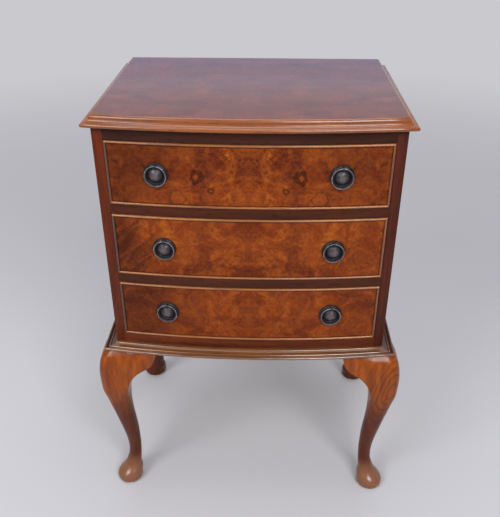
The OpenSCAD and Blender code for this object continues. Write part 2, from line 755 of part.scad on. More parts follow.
module drawer_beads(i) {
    color(moulding_brown) placed() {
        bead_along(i);
        translate([0, 0, 2 * front_z(i) + front_h(i)]) mirror([0, 0, 1]) bead_along(i);
        bead_up(i);
        mirror([1, 0, 0]) bead_up(i);
    }
}

module drawer_side_solid(i) {
    difference() {
        union() {
            intersection() {
                translate([drawer_inner, 0, side_z(i)]) cube([drawer_side_t, drawer_end_y, side_h(i)]);
                bow_disc(bow_r - front_t, side_z(i), side_h(i));
            }
            tails_right(i);
        }
        panel_blank(i);
    }
}

module drawer_side(i, side) color(drawer_wood) placed() mirror([side < 0 ? 1 : 0, 0, 0]) drawer_side_solid(i);

module drawer_back(i) {
    low = panel_z(i) + drawer_bottom_t;
    color(drawer_wood) placed() translate([-drawer_inner, drawer_end_y - drawer_side_t, low])
        cube([2 * drawer_inner, drawer_side_t, side_z(i) + side_h(i) - side_drop / 2 - low]);
}

module drawer_bottom(i) color(plywood) placed() panel_blank(i);

// Handles: z runs out of the drawer front, y runs up

lug_y = (ring_d - wire_d) / 2 - 1;
lug_z = plate_t + ring_gap + wire_d / 2;
lug_bore = wire_d + 2 * ring_gap + lug_w * lug_w / (4 * (ring_d - wire_d));

module handle_plate() {
    plate_r = plate_d / 2;
    boss_r = boss_d / 2;
    rise = boss_h - 1;
    dome_r = (boss_r * boss_r + rise * rise) / (2 * rise);
    union() {
        difference() {
            union() {
                cylinder(r = plate_r, h = plate_t);
                translate([0, lug_y, 0]) cylinder(d = lug_w, h = lug_z);
                translate([0, lug_y, lug_z]) rotate([0, 90, 0])
                    cylinder(d = lug_bore + 2.4, h = lug_w, center = true);
            }
            translate([0, 0, 1]) cylinder(d = boss_d + 2, h = plate_t);
            translate([0, lug_y, lug_z]) rotate([0, 90, 0]) cylinder(d = lug_bore, h = 2 * lug_w, center = true);
        }
        intersection() {
            translate([0, 0, boss_h - dome_r]) sphere(r = dome_r, $fn = 64);
            cylinder(r = boss_r, h = boss_h + eps);
        }
        translate([0, 0, -front_t - washer_t - nut_t - stud_tail])
            cylinder(d = stud_d, h = front_t + washer_t + nut_t + stud_tail + 0.5, $fn = 24);
    }
}

module drawer_plates(i) color(old_brass) placed() for (side = [-1, 1]) at_handle(i, side) handle_plate();

// The back of a drawer front is hollow, so a washer's rim touches it before its middle does
washer_lift = 0.05;

module drawer_nuts(i) {
    washer_back = -front_t - washer_lift - washer_t;
    color(steel) placed() for (side = [-1, 1]) at_handle(i, side) translate([0, 0, washer_back - nut_t])
        difference() {
            union() {
                cylinder(d = nut_w / cos(30), h = nut_t, $fn = 6);
                translate([0, 0, nut_t]) cylinder(d = washer_d, h = washer_t);
            }
            translate([0, 0, -eps]) cylinder(d = stud_d, h = nut_t + washer_t + 2 * eps, $fn = 24);
        }
}

module ring(i, side) {
    ring_mid_r = (ring_d - wire_d) / 2;
    color(old_brass) placed() at_handle(i, side) translate([0, lug_y - ring_mid_r, lug_z])
        rotate_extrude($fn = 96) translate([ring_mid_r, 0]) circle(d = wire_d, $fn = 32);
}

top_board();
side_left();
side_right();
back_panel();
bottom_board();
front_rail(frieze_z, frieze_h);  // frieze_rail
front_rail(upper_rail_z, rail_h);  // upper_rail
front_rail(lower_rail_z, rail_h);  // lower_rail
bottom_rail();
back_rail();
drawer_runners();
kickers();
drawer_stops();
base_board();
base_moulding_front();
base_moulding_side(-1);  // base_moulding_left
base_moulding_side(1);  // base_moulding_right
leg(-1, -1);  // leg_front_left
leg(1, -1);  // leg_front_right
leg(-1, 1);  // leg_back_left
leg(1, 1);  // leg_back_right
front_ear(-1);  // ear_front_left
front_ear(1);  // ear_front_right
side_ear(-1, -1);  // ear_left_front
side_ear(1, -1);  // ear_right_front
side_ear(-1, 1);  // ear_left_back
side_ear(1, 1);  // ear_right_back
corner_blocks();
corner_screws();
back_pins();
drawer_front(0);  // upper_drawer_front
drawer_beads(0);  // upper_drawer_beads
drawer_side(0, -1);  // upper_drawer_side_left
drawer_side(0, 1);  // upper_drawer_side_right
drawer_back(0);  // upper_drawer_back
drawer_bottom(0);  // upper_drawer_bottom
drawer_plates(0);  // upper_drawer_plates
drawer_nuts(0);  // upper_drawer_nuts
ring(0, -1);  // upper_ring_left
ring(0, 1);  // upper_ring_right
drawer_front(1);  // middle_drawer_front
drawer_beads(1);  // middle_drawer_beads
drawer_side(1, -1);  // middle_drawer_side_left
drawer_side(1, 1);  // middle_drawer_side_right
drawer_back(1);  // middle_drawer_back
drawer_bottom(1);  // middle_drawer_bottom
drawer_plates(1);  // middle_drawer_plates
drawer_nuts(1);  // middle_drawer_nuts
ring(1, -1);  // middle_ring_left
ring(1, 1);  // middle_ring_right
drawer_front(2);  // lower_drawer_front
drawer_beads(2);  // lower_drawer_beads
drawer_side(2, -1);  // lower_drawer_side_left
drawer_side(2, 1);  // lower_drawer_side_right
drawer_back(2);  // lower_drawer_back
drawer_bottom(2);  // lower_drawer_bottom
drawer_plates(2);  // lower_drawer_plates
drawer_nuts(2);  // lower_drawer_nuts
ring(2, -1);  // lower_ring_left
ring(2, 1);  // lower_ring_right
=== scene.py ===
# %% [markdown]
# # A bow-fronted bedside chest in burr walnut
#
# The real chest is a small case of three drawers on cabriole legs. Its drawer fronts and top are
# faced with burr walnut, laid as two mirrored leaves. The case, the mouldings and the legs are solid
# walnut, polished with shellac. The handles are brass rings, dark with age.
#
# The construction model is loaded first, and each piece below takes its place from it. Only the ring
# pulls are modelled anew, to the same sizes, because their turning is finer than the model's.

# %% Load the frame
import json
import math

import bpy
from mathutils import Matrix, Vector

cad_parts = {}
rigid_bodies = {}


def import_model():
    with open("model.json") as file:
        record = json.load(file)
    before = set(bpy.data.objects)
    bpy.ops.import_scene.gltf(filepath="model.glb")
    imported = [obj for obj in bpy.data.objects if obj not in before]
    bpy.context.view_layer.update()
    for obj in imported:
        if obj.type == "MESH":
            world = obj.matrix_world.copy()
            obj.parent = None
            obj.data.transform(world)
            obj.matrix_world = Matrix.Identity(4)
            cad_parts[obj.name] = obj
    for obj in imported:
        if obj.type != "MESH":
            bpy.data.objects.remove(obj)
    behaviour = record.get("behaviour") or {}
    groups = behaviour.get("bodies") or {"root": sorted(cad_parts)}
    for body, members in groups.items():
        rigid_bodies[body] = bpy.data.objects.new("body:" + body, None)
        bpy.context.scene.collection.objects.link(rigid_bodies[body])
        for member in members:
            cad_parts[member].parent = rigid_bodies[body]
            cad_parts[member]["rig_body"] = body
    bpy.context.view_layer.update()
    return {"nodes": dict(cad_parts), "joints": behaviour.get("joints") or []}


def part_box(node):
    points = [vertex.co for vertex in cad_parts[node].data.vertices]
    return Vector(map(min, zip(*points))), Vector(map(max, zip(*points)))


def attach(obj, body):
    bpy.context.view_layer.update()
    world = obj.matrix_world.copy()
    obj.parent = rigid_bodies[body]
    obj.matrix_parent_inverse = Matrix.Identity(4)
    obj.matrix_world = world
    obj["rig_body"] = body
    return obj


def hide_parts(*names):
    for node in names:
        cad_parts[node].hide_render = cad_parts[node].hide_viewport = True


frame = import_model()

# The frame is in metres.
MM = 0.001
nodes = frame["nodes"]
LEVELS = ("upper", "middle", "lower")
SIDES = ("left", "right")

# %% [markdown]
# ## The camera
#
# The photograph looks down on the chest from about a metre up, a little to its right. The lens and the
# place were worked out from the edges of the chest, so the picture needs no shift.

# %% Camera
PHOTO_HEIGHT_PX = 517
FOCAL_PX = 655.67
SENSOR_MM = 36.0
CAMERA_PLACE = Vector((29.3, -987.0, 970.6)) * MM
CAMERA_PITCH = 30.637
CAMERA_YAW = 1.874


def add_camera():
    """A camera at the photograph's angle, with the long side of the picture upright."""
    lens = bpy.data.cameras.new("camera")
    lens.sensor_width = SENSOR_MM
    lens.lens = FOCAL_PX * SENSOR_MM / PHOTO_HEIGHT_PX
    camera = bpy.data.objects.new("camera", lens)
    camera.location = CAMERA_PLACE
    camera.rotation_euler = (math.radians(90 - CAMERA_PITCH), 0, math.radians(CAMERA_YAW))
    bpy.context.collection.objects.link(camera)
    bpy.context.scene.camera = camera
    return camera


camera = add_camera()
print("Lens:", round(camera.data.lens, 1), "mm")

# %% [markdown]
# ## How a material is written
#
# Every finish is made of nodes that read the place on the piece in metres, so a pattern has a real
# size and sits still when a drawer slides. One small function adds a node, sets it and joins it, and
# another turns a colour written as sRGB hex into the linear numbers that the shader works in. The last
# two are steps that most finishes share: tones made from a noise, and an uneven gloss.

# %% Node helpers


def linear(hex_colour):
    """An sRGB hex colour as linear RGBA."""
    channels = [int(hex_colour[i:i + 2], 16) / 255 for i in (1, 3, 5)]
    return [c / 12.92 if c <= 0.04045 else ((c + 0.055) / 1.055) ** 2.4 for c in channels] + [1.0]


def find_socket(sockets, key):
    """A socket by its number, or the one in use by its name."""
    if isinstance(key, int):
        return sockets[key]
    return next(s for s in sockets if s.name == key and s.enabled)


def add_node(tree, kind, inputs=(), stops=(), **settings):
    """Adds a node. Inputs are numbers, hex colours, sockets or other nodes. Stops fill a ramp.

    Inputs come by name, or as a list in the node's own order. For a range that is its value, the old
    start and end, and the new start and end.
    """
    node = tree.nodes.new("ShaderNode" + kind)
    for name, value in settings.items():
        setattr(node, name, value)
    for key, value in inputs.items() if isinstance(inputs, dict) else enumerate(inputs):
        target = find_socket(node.inputs, key)
        if isinstance(value, bpy.types.Node):
            value = next(s for s in value.outputs if s.enabled)
        if isinstance(value, bpy.types.NodeSocket):
            tree.links.new(value, target)
        else:
            target.default_value = linear(value) if isinstance(value, str) else value
    for number, (position, value) in enumerate(stops):
        elements = node.color_ramp.elements
        element = elements[number] if number < len(elements) else elements.new(position)
        element.position = position
        element.color = linear(value) if isinstance(value, str) else (value, value, value, 1)
    return node


def new_material(name):
    """An empty material, its node tree, and the place on the piece in metres."""
    material = bpy.data.materials.new(name)
    material.use_nodes = True
    tree = material.node_tree
    tree.nodes.clear()
    return material, tree, add_node(tree, "TexCoord").outputs["Object"]


def shaded(tree, colour, shade, amount=1.0):
    """The colour darkened, or lightened past 1, by a shade."""
    return add_node(tree, "Mix", {
        "Factor": amount, "A": colour, "B": shade}, data_type="RGBA", blend_type="MULTIPLY")


def finish_material(tree, colour, roughness, height, depth_mm, **others):
    """Joins a colour, a roughness, a relief of that depth and the other inputs to the shader."""
    bump = add_node(tree, "Bump", {"Height": height, "Strength": 1.0, "Distance": depth_mm * MM})
    inputs = {"Base Color": colour, "Roughness": roughness, "Normal": bump}
    inputs.update({name.replace("_", " "): value for name, value in others.items()})
    shader = add_node(tree, "BsdfPrincipled", inputs)
    add_node(tree, "OutputMaterial", {"Surface": shader})


def noise_tones(tree, place, scale, stops, detail=3.0, **others):
    """A noise turned into shades or colours by a ramp."""
    noise = add_node(tree, "TexNoise", {"Vector": place, "Scale": scale, "Detail": detail} | others)
    return add_node(tree, "ValToRGB", {"Fac": noise}, stops=stops)


def uneven_gloss(tree, place, scale, smooth, rough):
    """A roughness that a slow noise moves between two values, as hand polish does, and that noise."""
    patches = add_node(tree, "TexNoise", {"Vector": place, "Scale": scale, "Detail": 3.0})
    return add_node(tree, "MapRange", [patches, 0.0, 1.0, smooth, rough]), patches


# A range with this starts and ends softly.
SMOOTH = {"interpolation_type": "SMOOTHSTEP"}
print("Middle grey is", round(linear("#808080")[0], 3), "in linear light")

# %% [markdown]
# ## Burr walnut veneer
#
# A burr is a growth full of buds. Sliced into veneer it shows soft clouds of red, brown and orange,
# small round eyes with a dark rim, and fine dark flecks. Two neighbouring leaves opened like a book
# mirror each other about the middle of the chest, so the pattern reads the distance from the middle
# and not x itself. It works in millimetres, so each scale below is one over a real size.

# %% Burr walnut: the place on a leaf
# Each veneer takes its own slice of the noise, this far from the next one.
LEAF_STEP_MM = 100.0


def leaf_place(tree, place, up_axis, centre, seed):
    """In mm: x, the distance from the middle, the height above centre, and those two as a vector."""
    axes = add_node(tree, "SeparateXYZ", {"Vector": place})
    x_mm = add_node(tree, "Math", [axes.outputs["X"], 1 / MM], operation="MULTIPLY")
    across = add_node(tree, "Math", [x_mm], operation="ABSOLUTE")
    raised = add_node(tree, "Math", [axes.outputs[up_axis], centre], operation="SUBTRACT")
    up = add_node(tree, "Math", [raised, 1 / MM], operation="MULTIPLY")
    leaf = add_node(tree, "CombineXYZ", {"X": across, "Y": up, "Z": LEAF_STEP_MM * seed})
    return x_mm, across, up, leaf


# %% [markdown]
# The figure is three noises, each finer than the last, with a speckle over them. The larger two read a
# place that a slow noise has pushed about, because burr grain has no direction: it swirls round a bud.
# A few wide glows lift or sink the tone where the real leaves are lighter or darker.

# %% Burr walnut: clouds and curls
SWIRL_MM = 38
PUSH_MM = 46
CLOUD_MM = 46
CURL_MM = 15
MOTTLE_MM = 5
SPECKLE_MM = 2.4
CURL_SHARE = 0.52
MOTTLE_SHARE = 0.28
MIDDLE_TONE = 0.505


def burr_figure(tree, leaf, glows, tones, contrast, speckled):
    """The veneer's colour, with its pushed place, its push and its curls for the other steps."""
    push = add_node(tree, "TexNoise", {"Vector": leaf, "Scale": 1 / SWIRL_MM}).outputs["Color"]
    centred = add_node(tree, "VectorMath", [push, (0.5, 0.5, 0.5)], operation="SUBTRACT")
    swirl = add_node(tree, "VectorMath", [centred, (PUSH_MM, PUSH_MM, 0)], operation="MULTIPLY")
    swirled = add_node(tree, "VectorMath", [leaf, swirl], operation="ADD")

    clouds = add_node(tree, "TexNoise", {"Vector": swirled, "Scale": 1 / CLOUD_MM})
    curls = add_node(tree, "TexNoise", {
        "Vector": swirled, "Scale": 1 / CURL_MM, "Detail": 3.0, "Roughness": 0.55, "Distortion": 0.4})
    mottle = add_node(tree, "TexNoise", {
        "Vector": leaf, "Scale": 1 / MOTTLE_MM, "Detail": 3.0, "Roughness": 0.6})
    tone = add_node(tree, "Mix", {"Factor": CURL_SHARE, "A": clouds, "B": curls})
    tone = add_node(tree, "Mix", {"Factor": MOTTLE_SHARE, "A": tone, "B": mottle})
    for glow_across, glow_up, reach_mm, amount in glows:
        middle = (glow_across, glow_up, 0)
        offset = add_node(tree, "VectorMath", [swirled, middle], operation="SUBTRACT")
        flat = add_node(tree, "VectorMath", [offset, (1, 1, 0)], operation="MULTIPLY")
        away = add_node(tree, "VectorMath", [flat], operation="LENGTH")
        lift = add_node(tree, "MapRange", [away, 0.0, reach_mm, amount, 0.0], **SMOOTH)
        tone = add_node(tree, "Math", [tone, lift], operation="ADD")
    tone = add_node(tree, "Math", [tone, contrast, MIDDLE_TONE * (1 - contrast)],
                    operation="MULTIPLY_ADD")
    colour = add_node(tree, "ValToRGB", {"Fac": tone}, stops=tones)
    speckle = noise_tones(tree, leaf, 1 / SPECKLE_MM, ((0.56, 1.0), (0.70, 0.66)), detail=2.0)
    return shaded(tree, colour, speckle, speckled), swirled, centred, curls


# %% [markdown]
# Each bud leaves a pip. A Voronoi texture scatters points, and its distance to the nearest one draws a
# dark ring of about 3 mm round a light heart. Only about a third of the points are used, so that the
# pips lie in loose groups. The few large eyes are placed one by one, because they are seen first. Each
# has a faint orange heart and a dark rim that the curls make uneven.

# %% Burr walnut: pips and eyes
PIP_SPACING_MM = 9
EYE_HEART = "#A2501C"
HEART_STRENGTH = 0.32
EYE_UNEVENNESS = 0.7


def add_pips(tree, colour, swirled):
    """Small rings round scattered points."""
    cells = add_node(tree, "TexVoronoi", {"Vector": swirled, "Scale": 1 / PIP_SPACING_MM})
    ring = add_node(tree, "ValToRGB", {"Fac": cells.outputs["Distance"]}, stops=(
        (0.00, 1.05), (0.06, 1.0), (0.13, 0.52), (0.20, 0.74), (0.28, 1.0)))
    pick = add_node(tree, "SeparateColor", {"Color": cells.outputs["Color"]}).outputs["Red"]
    chosen = add_node(tree, "MapRange", [pick, 0.60, 0.72])
    return shaded(tree, colour, ring, chosen)


def add_eyes(tree, colour, leaf, seed, centred, curls, eyes):
    """Large eyes: mm across, mm up, radius in mm, and the share of it where the rim starts."""
    for eye_across, eye_up, eye_size, rim_from in eyes:
        middle = (eye_across, eye_up, LEAF_STEP_MM * seed)
        offset = add_node(tree, "VectorMath", [leaf, middle], operation="SUBTRACT")
        wobble = add_node(tree, "VectorMath", [centred, (eye_size, eye_size, 0)], operation="MULTIPLY")
        offset = add_node(tree, "VectorMath", [offset, wobble], operation="ADD")
        length = add_node(tree, "VectorMath", [offset], operation="LENGTH")
        radius = add_node(tree, "Math", [length, eye_size], operation="DIVIDE")
        rough_radius = add_node(tree, "Math", [curls, EYE_UNEVENNESS, radius], operation="MULTIPLY_ADD")
        heart = add_node(tree, "MapRange", [
            rough_radius, rim_from - 0.1, rim_from + 0.1, HEART_STRENGTH, 0.0])
        colour = add_node(tree, "Mix", {"Factor": heart, "A": colour, "B": EYE_HEART}, data_type="RGBA")
        rim = add_node(tree, "ValToRGB", {"Fac": rough_radius}, stops=(
            (rim_from - 0.12, 1.0), (rim_from + 0.08, 0.40), (1.04, 0.48), (1.3, 1.0)))
        colour = shaded(tree, colour, rim)
    return colour


# %% [markdown]
# Fine dark flecks spread like a fan from one point of the joint between the leaves. Angle and distance
# from that point take the place of x and y, which draws every fleck out along its own ray.

# %% Burr walnut: the fan of flecks
RAYS_PER_RADIAN = 15.0
FLECK_MM = 6
FAN_FADE_MM = (35.0, 95.0)


def add_fan(tree, colour, across, up, curls, fan_at, strength):
    """Flecks along rays from a point on the joint, fan_at mm above the middle."""
    fan_across = add_node(tree, "Math", [across, 1.0], operation="ADD")
    fan_up = add_node(tree, "Math", [up, fan_at], operation="SUBTRACT")
    angle = add_node(tree, "Math", [fan_up, fan_across], operation="ARCTAN2")
    fan_offset = add_node(tree, "CombineXYZ", {"X": fan_across, "Y": fan_up})
    reach = add_node(tree, "VectorMath", [fan_offset], operation="LENGTH")
    angle_place = add_node(tree, "Math", [angle, RAYS_PER_RADIAN], operation="MULTIPLY")
    reach_place = add_node(tree, "Math", [reach, 1 / FLECK_MM], operation="MULTIPLY")
    fan_place = add_node(tree, "CombineXYZ", {"X": angle_place, "Y": reach_place, "Z": curls})
    flecks = noise_tones(tree, fan_place, 1.0, ((0.51, 1.0), (0.57, 0.62), (0.66, 0.48)),
                         Roughness=0.6, Distortion=0.8)
    near = add_node(tree, "MapRange", [reach, FAN_FADE_MM[0], FAN_FADE_MM[1], strength, 0.2 * strength])
    return shaded(tree, colour, flecks, near)


# %% [markdown]
# The ends of each front are darkened with painted shade, the left end most of all. A thin dark line of
# painted shade also runs along the cock beads, at the edge of the veneer.

# %% Burr walnut: painted shade on the ends and along the beads, and streaks
END_WAVES_MM = 60.0
# The painted shade along the beads: where it starts, where it is darkest, and how dark it gets.
EDGE_FADE_MM = 2.4
EDGE_DARK_MM = 0.8
EDGE_SHADE = 0.45
STREAK_TURN = -38
STREAK_SIZE_MM = (60, 9)
STREAK_FADE_MM = 30


def add_painted_end_shade(tree, colour, x_mm, up, curls, end_at, reach_mm, left, right, tilt):
    """Paints shade on the two ends from end_at mm on, down to the shares left and right, sooner higher
    up.
    """
    for direction, darkest in ((-1, left), (1, right)):
        outward = add_node(tree, "Math", [x_mm, direction], operation="MULTIPLY")
        uneven = add_node(tree, "Math", [curls, END_WAVES_MM, outward], operation="MULTIPLY_ADD")
        tilted = add_node(tree, "Math", [up, tilt, uneven], operation="MULTIPLY_ADD")
        shade = add_node(tree, "MapRange", [
            tilted, end_at + END_WAVES_MM / 2, end_at + reach_mm, 1.0, darkest], **SMOOTH)
        colour = shaded(tree, colour, shade)
    return colour


def add_painted_edge_shade(tree, colour, across, up, half_width, half_height):
    """A thin dark line of painted shade along the edge of the veneered field, whose half sizes are in
    mm.
    """
    beyond_side = add_node(tree, "Math", [across, half_width], operation="SUBTRACT")
    height = add_node(tree, "Math", [up], operation="ABSOLUTE")
    beyond_top = add_node(tree, "Math", [height, half_height], operation="SUBTRACT")
    nearest = add_node(tree, "Math", [beyond_side, beyond_top], operation="MAXIMUM")
    shade = add_node(tree, "MapRange", [nearest, -EDGE_FADE_MM, -EDGE_DARK_MM, 1.0, EDGE_SHADE],
                     **SMOOTH)
    return shaded(tree, colour, shade)


def add_streaks(tree, colour, x_mm, up, streaks_from):
    """Dark diagonal streaks at the left end, left of streaks_from mm."""
    place = add_node(tree, "CombineXYZ", {"X": x_mm, "Y": up})
    turned = add_node(tree, "Mapping", {"Vector": place, "Rotation": (0, 0, math.radians(STREAK_TURN))})
    drawn = add_node(tree, "Mapping", {
        "Vector": turned, "Scale": (1 / STREAK_SIZE_MM[0], 1 / STREAK_SIZE_MM[1], 1)})
    streaks = noise_tones(tree, drawn, 1.0, ((0.44, 0.55), (0.56, 1.0)), Distortion=0.5)
    there = add_node(tree, "MapRange", [x_mm, streaks_from - STREAK_FADE_MM, streaks_from, 0.9, 0.0],
                     **SMOOTH)
    return shaded(tree, colour, streaks, there)


# %% [markdown]
# A front is finished with thin shellac, so it shines less than the mouldings. The polish is not even:
# a slow noise moves its roughness, and the curls raise the surface by a tenth of a millimetre. Darker
# blotches lie between the clouds where the polish sank in.

# %% Burr walnut: a front's veneer
# Where each tone lies on the ramp, and its colour, from dark to light.
FRONT_BURR = ((0.40, "#4A1D10"), (0.455, "#6C2E12"), (0.505, "#823B11"), (0.555, "#954713"),
              (0.62, "#B06420"))
BLOTCH_MM = 24
FRONT_POLISH_MM = 17
BEAD_W = 3.4


def front_veneer(level, seed, contrast, fan_at, fan_strength, eyes, glows, ends, streaks_from=None):
    """The book-matched burr of one drawer front."""
    low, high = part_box(level + "_drawer_front")
    centre = (low.z + high.z) / 2
    material, tree, place = new_material(level + "_front_burr_walnut")
    x_mm, across, up, leaf = leaf_place(tree, place, "Z", centre, seed)
    colour, swirled, centred, curls = burr_figure(tree, leaf, glows, FRONT_BURR, contrast, speckled=0.7)
    blotches = noise_tones(tree, swirled, 1 / BLOTCH_MM, ((0.38, "#C9A493"), (0.52, "#FFFFFF")))
    colour = shaded(tree, colour, blotches, contrast)
    colour = add_pips(tree, colour, swirled)
    colour = add_eyes(tree, colour, leaf, seed, centred, curls, eyes)
    colour = add_fan(tree, colour, across, up, curls, fan_at, fan_strength)
    # Painted shade: the ends of the front, and a thin line along the beads below.
    colour = add_painted_end_shade(tree, colour, x_mm, up, curls, *ends)
    if streaks_from is not None:
        colour = add_streaks(tree, colour, x_mm, up, streaks_from)
    colour = add_painted_edge_shade(tree, colour, across, up, high.x / MM - BEAD_W,
                           (high.z - centre) / MM - BEAD_W)
    roughness = uneven_gloss(tree, leaf, 1 / FRONT_POLISH_MM, 0.28, 0.46)[0]
    finish_material(tree, colour, roughness, curls, 0.10, Specular_IOR_Level=0.12)
    return material


# Glows are mm across, mm up, reach in mm and lift. Ends are where their painted shade starts, its reach,
# how dark the left and the right one are, and their tilt.
fronts = {
    "upper": front_veneer("upper", seed=1, contrast=0.60, fan_at=48, fan_strength=1.0,
                          glows=((0, -45, 75, 0.03), (130, -40, 60, 0.03), (150, 40, 70, -0.04)),
                          eyes=((75, 0, 16, 0.62), (98, -33, 19, 0.96), (52, -21, 8, 0.5)),
                          ends=(85, 100, 0.62, 0.84, 0.9)),
    "middle": front_veneer("middle", seed=4, contrast=0.58, fan_at=-60, fan_strength=0.7,
                           glows=((90, 10, 80, 0.02), (0, 0, 60, -0.03)), eyes=(),
                           ends=(150, 60, 0.66, 1.0, -0.4), streaks_from=-120),
    "lower": front_veneer("lower", seed=7, contrast=0.52, fan_at=-50, fan_strength=0.6,
                          glows=((0, 5, 90, 0.02),), eyes=(), ends=(60, 130, 0.55, 0.92, 0.0)),
}
print(len(fronts), "veneered fronts")

# %% [markdown]
# The top is the same burr with less contrast, under a deeper polish. A weak blue sheen and a cool tint
# on
# its gloss are a painted blue reflection: it shows from low down and vanishes from above, and is not a
# colour of the wood. Wide bands that drift across the leaves are where the polish has darkened.

# %% Burr walnut: the top's veneer
TOP_BURR = ((0.38, "#5E3D34"), (0.45, "#6C4134"), (0.51, "#764334"), (0.56, "#7F4734"),
            (0.63, "#884E39"))
DRIFT_TURN = 20
DRIFT_SIZE_MM = (120, 40)
TOP_POLISH_MM = 25
# A painted blue reflection: a weak blue sheen, and a cool tint on the gloss.
PAINTED_BLUE_REFLECTION = {"Specular_Tint": "#D8E2FF", "Sheen_Weight": 0.13, "Sheen_Tint": "#8C9CFF",
         "Sheen_Roughness": 0.4}


def top_veneer():
    """The book-matched burr of the top, with a painted blue reflection in its gloss."""
    low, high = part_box("top_board")
    material, tree, place = new_material("top_burr_walnut")
    leaf = leaf_place(tree, place, "Y", (low.y + high.y) / 2, seed=11)[-1]
    colour = burr_figure(tree, leaf, (), TOP_BURR, contrast=0.6, speckled=0.25)[0]
    drawn = add_node(tree, "Mapping", {
        "Vector": leaf, "Rotation": (0, 0, math.radians(DRIFT_TURN)),
        "Scale": (1 / DRIFT_SIZE_MM[0], 1 / DRIFT_SIZE_MM[1], 1)})
    drift = noise_tones(tree, drawn, 1.0, ((0.36, "#DADBE0"), (0.62, "#FFFFFF")), Distortion=0.8)
    colour = shaded(tree, colour, drift)
    roughness, polish = uneven_gloss(tree, leaf, 1 / TOP_POLISH_MM, 0.20, 0.32)
    finish_material(tree, colour, roughness, polish, 0.004, Specular_IOR_Level=0.65, **PAINTED_BLUE_REFLECTION)
    return material


top_burr = top_veneer()
print("The top is", top_burr.name)

# %% [markdown]
# ## Solid walnut
#
# Sawn walnut shows bands of growth rings, drawn out along the board, and short dark pores that lie
# along the grain. One function makes it for every board: the grain's direction is a choice of axis,
# and the two colours say how dark the piece was stained.

# %% Straight-grained wood
# Real pores are about 0.2 mm wide. These are drawn coarser, so that they still show in the picture.
PORE_MM = 1.6
GRAIN_DRAW = 0.06
PORE_DRAW = 0.10
# The patches of uneven polish, per metre: each is about 22 mm wide.
POLISH_PATCHES = 45.0


def drawn_along(axis, share):
    """The scale that draws a pattern out along one axis."""
    return [share if letter == axis else 1.0 for letter in "XYZ"]


def add_pores(tree, colour, place, stretch, stops, amount):
    """Short dark pores along the grain. Gives the colour, and the pores for the relief."""
    drawn = add_node(tree, "Mapping", {"Vector": place, "Scale": stretch})
    pores = noise_tones(tree, drawn, 1 / (PORE_MM * MM), stops, detail=2.0)
    return shaded(tree, colour, pores, amount), pores


def grained_wood(name, along, light, dark, band_mm, roughness=(0.28, 0.45), contrast=1.0, **constants):
    """Wood with bands about band_mm wide and pores, both drawn out along one axis of the piece."""
    material, tree, place = new_material(name)
    drawn = add_node(tree, "Mapping", {"Vector": place, "Scale": drawn_along(along, GRAIN_DRAW)})
    bands = add_node(tree, "TexNoise", {
        "Vector": drawn, "Scale": 0.5 / (band_mm * MM), "Detail": 4.0, "Roughness": 0.6,
        "Distortion": 0.4})
    streaks = add_node(tree, "TexNoise", {"Vector": drawn, "Scale": 2.6 / (band_mm * MM), "Detail": 3.0})
    tone = add_node(tree, "Mix", {"Factor": 0.35, "A": bands, "B": streaks})
    spread = 0.16 / contrast
    ends = ((0.5 - spread, dark), (0.5 + spread, light))
    colour = add_node(tree, "ValToRGB", {"Fac": tone}, stops=ends)
    colour, pores = add_pores(tree, colour, place, drawn_along(along, PORE_DRAW),
                              stops=((0.56, 1.0), (0.68, 0.55)), amount=0.8)
    gloss = uneven_gloss(tree, place, POLISH_PATCHES, *roughness)[0]
    finish_material(tree, colour, gloss, pores, 0.08, **constants)
    return material


# %% [markdown]
# The finishes differ in their coat. The mouldings and beads were polished, and the front of the base
# moulding is waxed on top of that. The case was stained and rubbed down, and the oak inside is bare. The
# right side is painted darker than the left, and the frieze under the top and the lower rail darker than
# the other rails, as painted shade.

# %% The boards' woods
POLISHED = {"roughness": (0.26, 0.40), "Specular_IOR_Level": 0.2, "Coat_Weight": 1.0,
            "Coat_Roughness": 0.15}
WAXED = POLISHED | {"roughness": (0.20, 0.30), "Coat_IOR": 1.8}
STAINED = {"Specular_IOR_Level": 0.14}
PLANED = {"roughness": (0.5, 0.7), "Specular_IOR_Level": 0.35}
# The grain's axis, the light and the dark colour, the width of the bands in mm, and the coat.
WOODS = {
    # The right side is painted darker than the left, and the frieze and the lower rail darker than the
    # other rails, as painted shade.
    "left_side_walnut_painted_light": ("Z", "#742F14", "#4A1D0E", 22, STAINED),
    "right_side_walnut_painted_light": ("Z", "#602A19", "#3C1912", 22, STAINED),
    "shaded_frieze_walnut": ("X", "#442216", "#27120D", 14, STAINED),
    "upper_rail_walnut": ("X", "#562813", "#36180D", 14, STAINED),
    "lower_rail_walnut": ("X", "#4D2514", "#30150D", 14, STAINED),
    "bottom_rail_walnut": ("X", "#77381A", "#4D2210", 14, STAINED),
    "top_moulding_walnut": ("X", "#974E0E", "#5E2B08", 10, POLISHED),
    "base_moulding_walnut": ("X", "#835026", "#4E2C15", 10, WAXED),
    "side_moulding_walnut": ("Y", "#5A3425", "#382017", 10, POLISHED),
    # The beads are one walnut in lit and shaded copies: the level strips painted lighter, the upright
    # ones painted darker as painted shade.
    "lit_cock_bead_walnut": ("X", "#AA6832", "#7C4A22", 6, POLISHED),
    "shaded_left_bead_walnut": ("Z", "#6A3F28", "#44281B", 6, POLISHED),
    "shaded_right_bead_walnut": ("Z", "#8C5029", "#5E351B", 6, POLISHED),
    "drawer_oak": ("Y", "#C09A6A", "#93693C", 9, PLANED),
    "cross_oak": ("X", "#B8925F", "#8C6337", 9, PLANED),
    "birch_plywood": ("X", "#C9A778", "#A9824F", 16, PLANED | {"contrast": 0.6}),
}
woods = {name: grained_wood(name, *row[:-1], **row[-1]) for name, row in WOODS.items()}
print(len(woods), "woods")

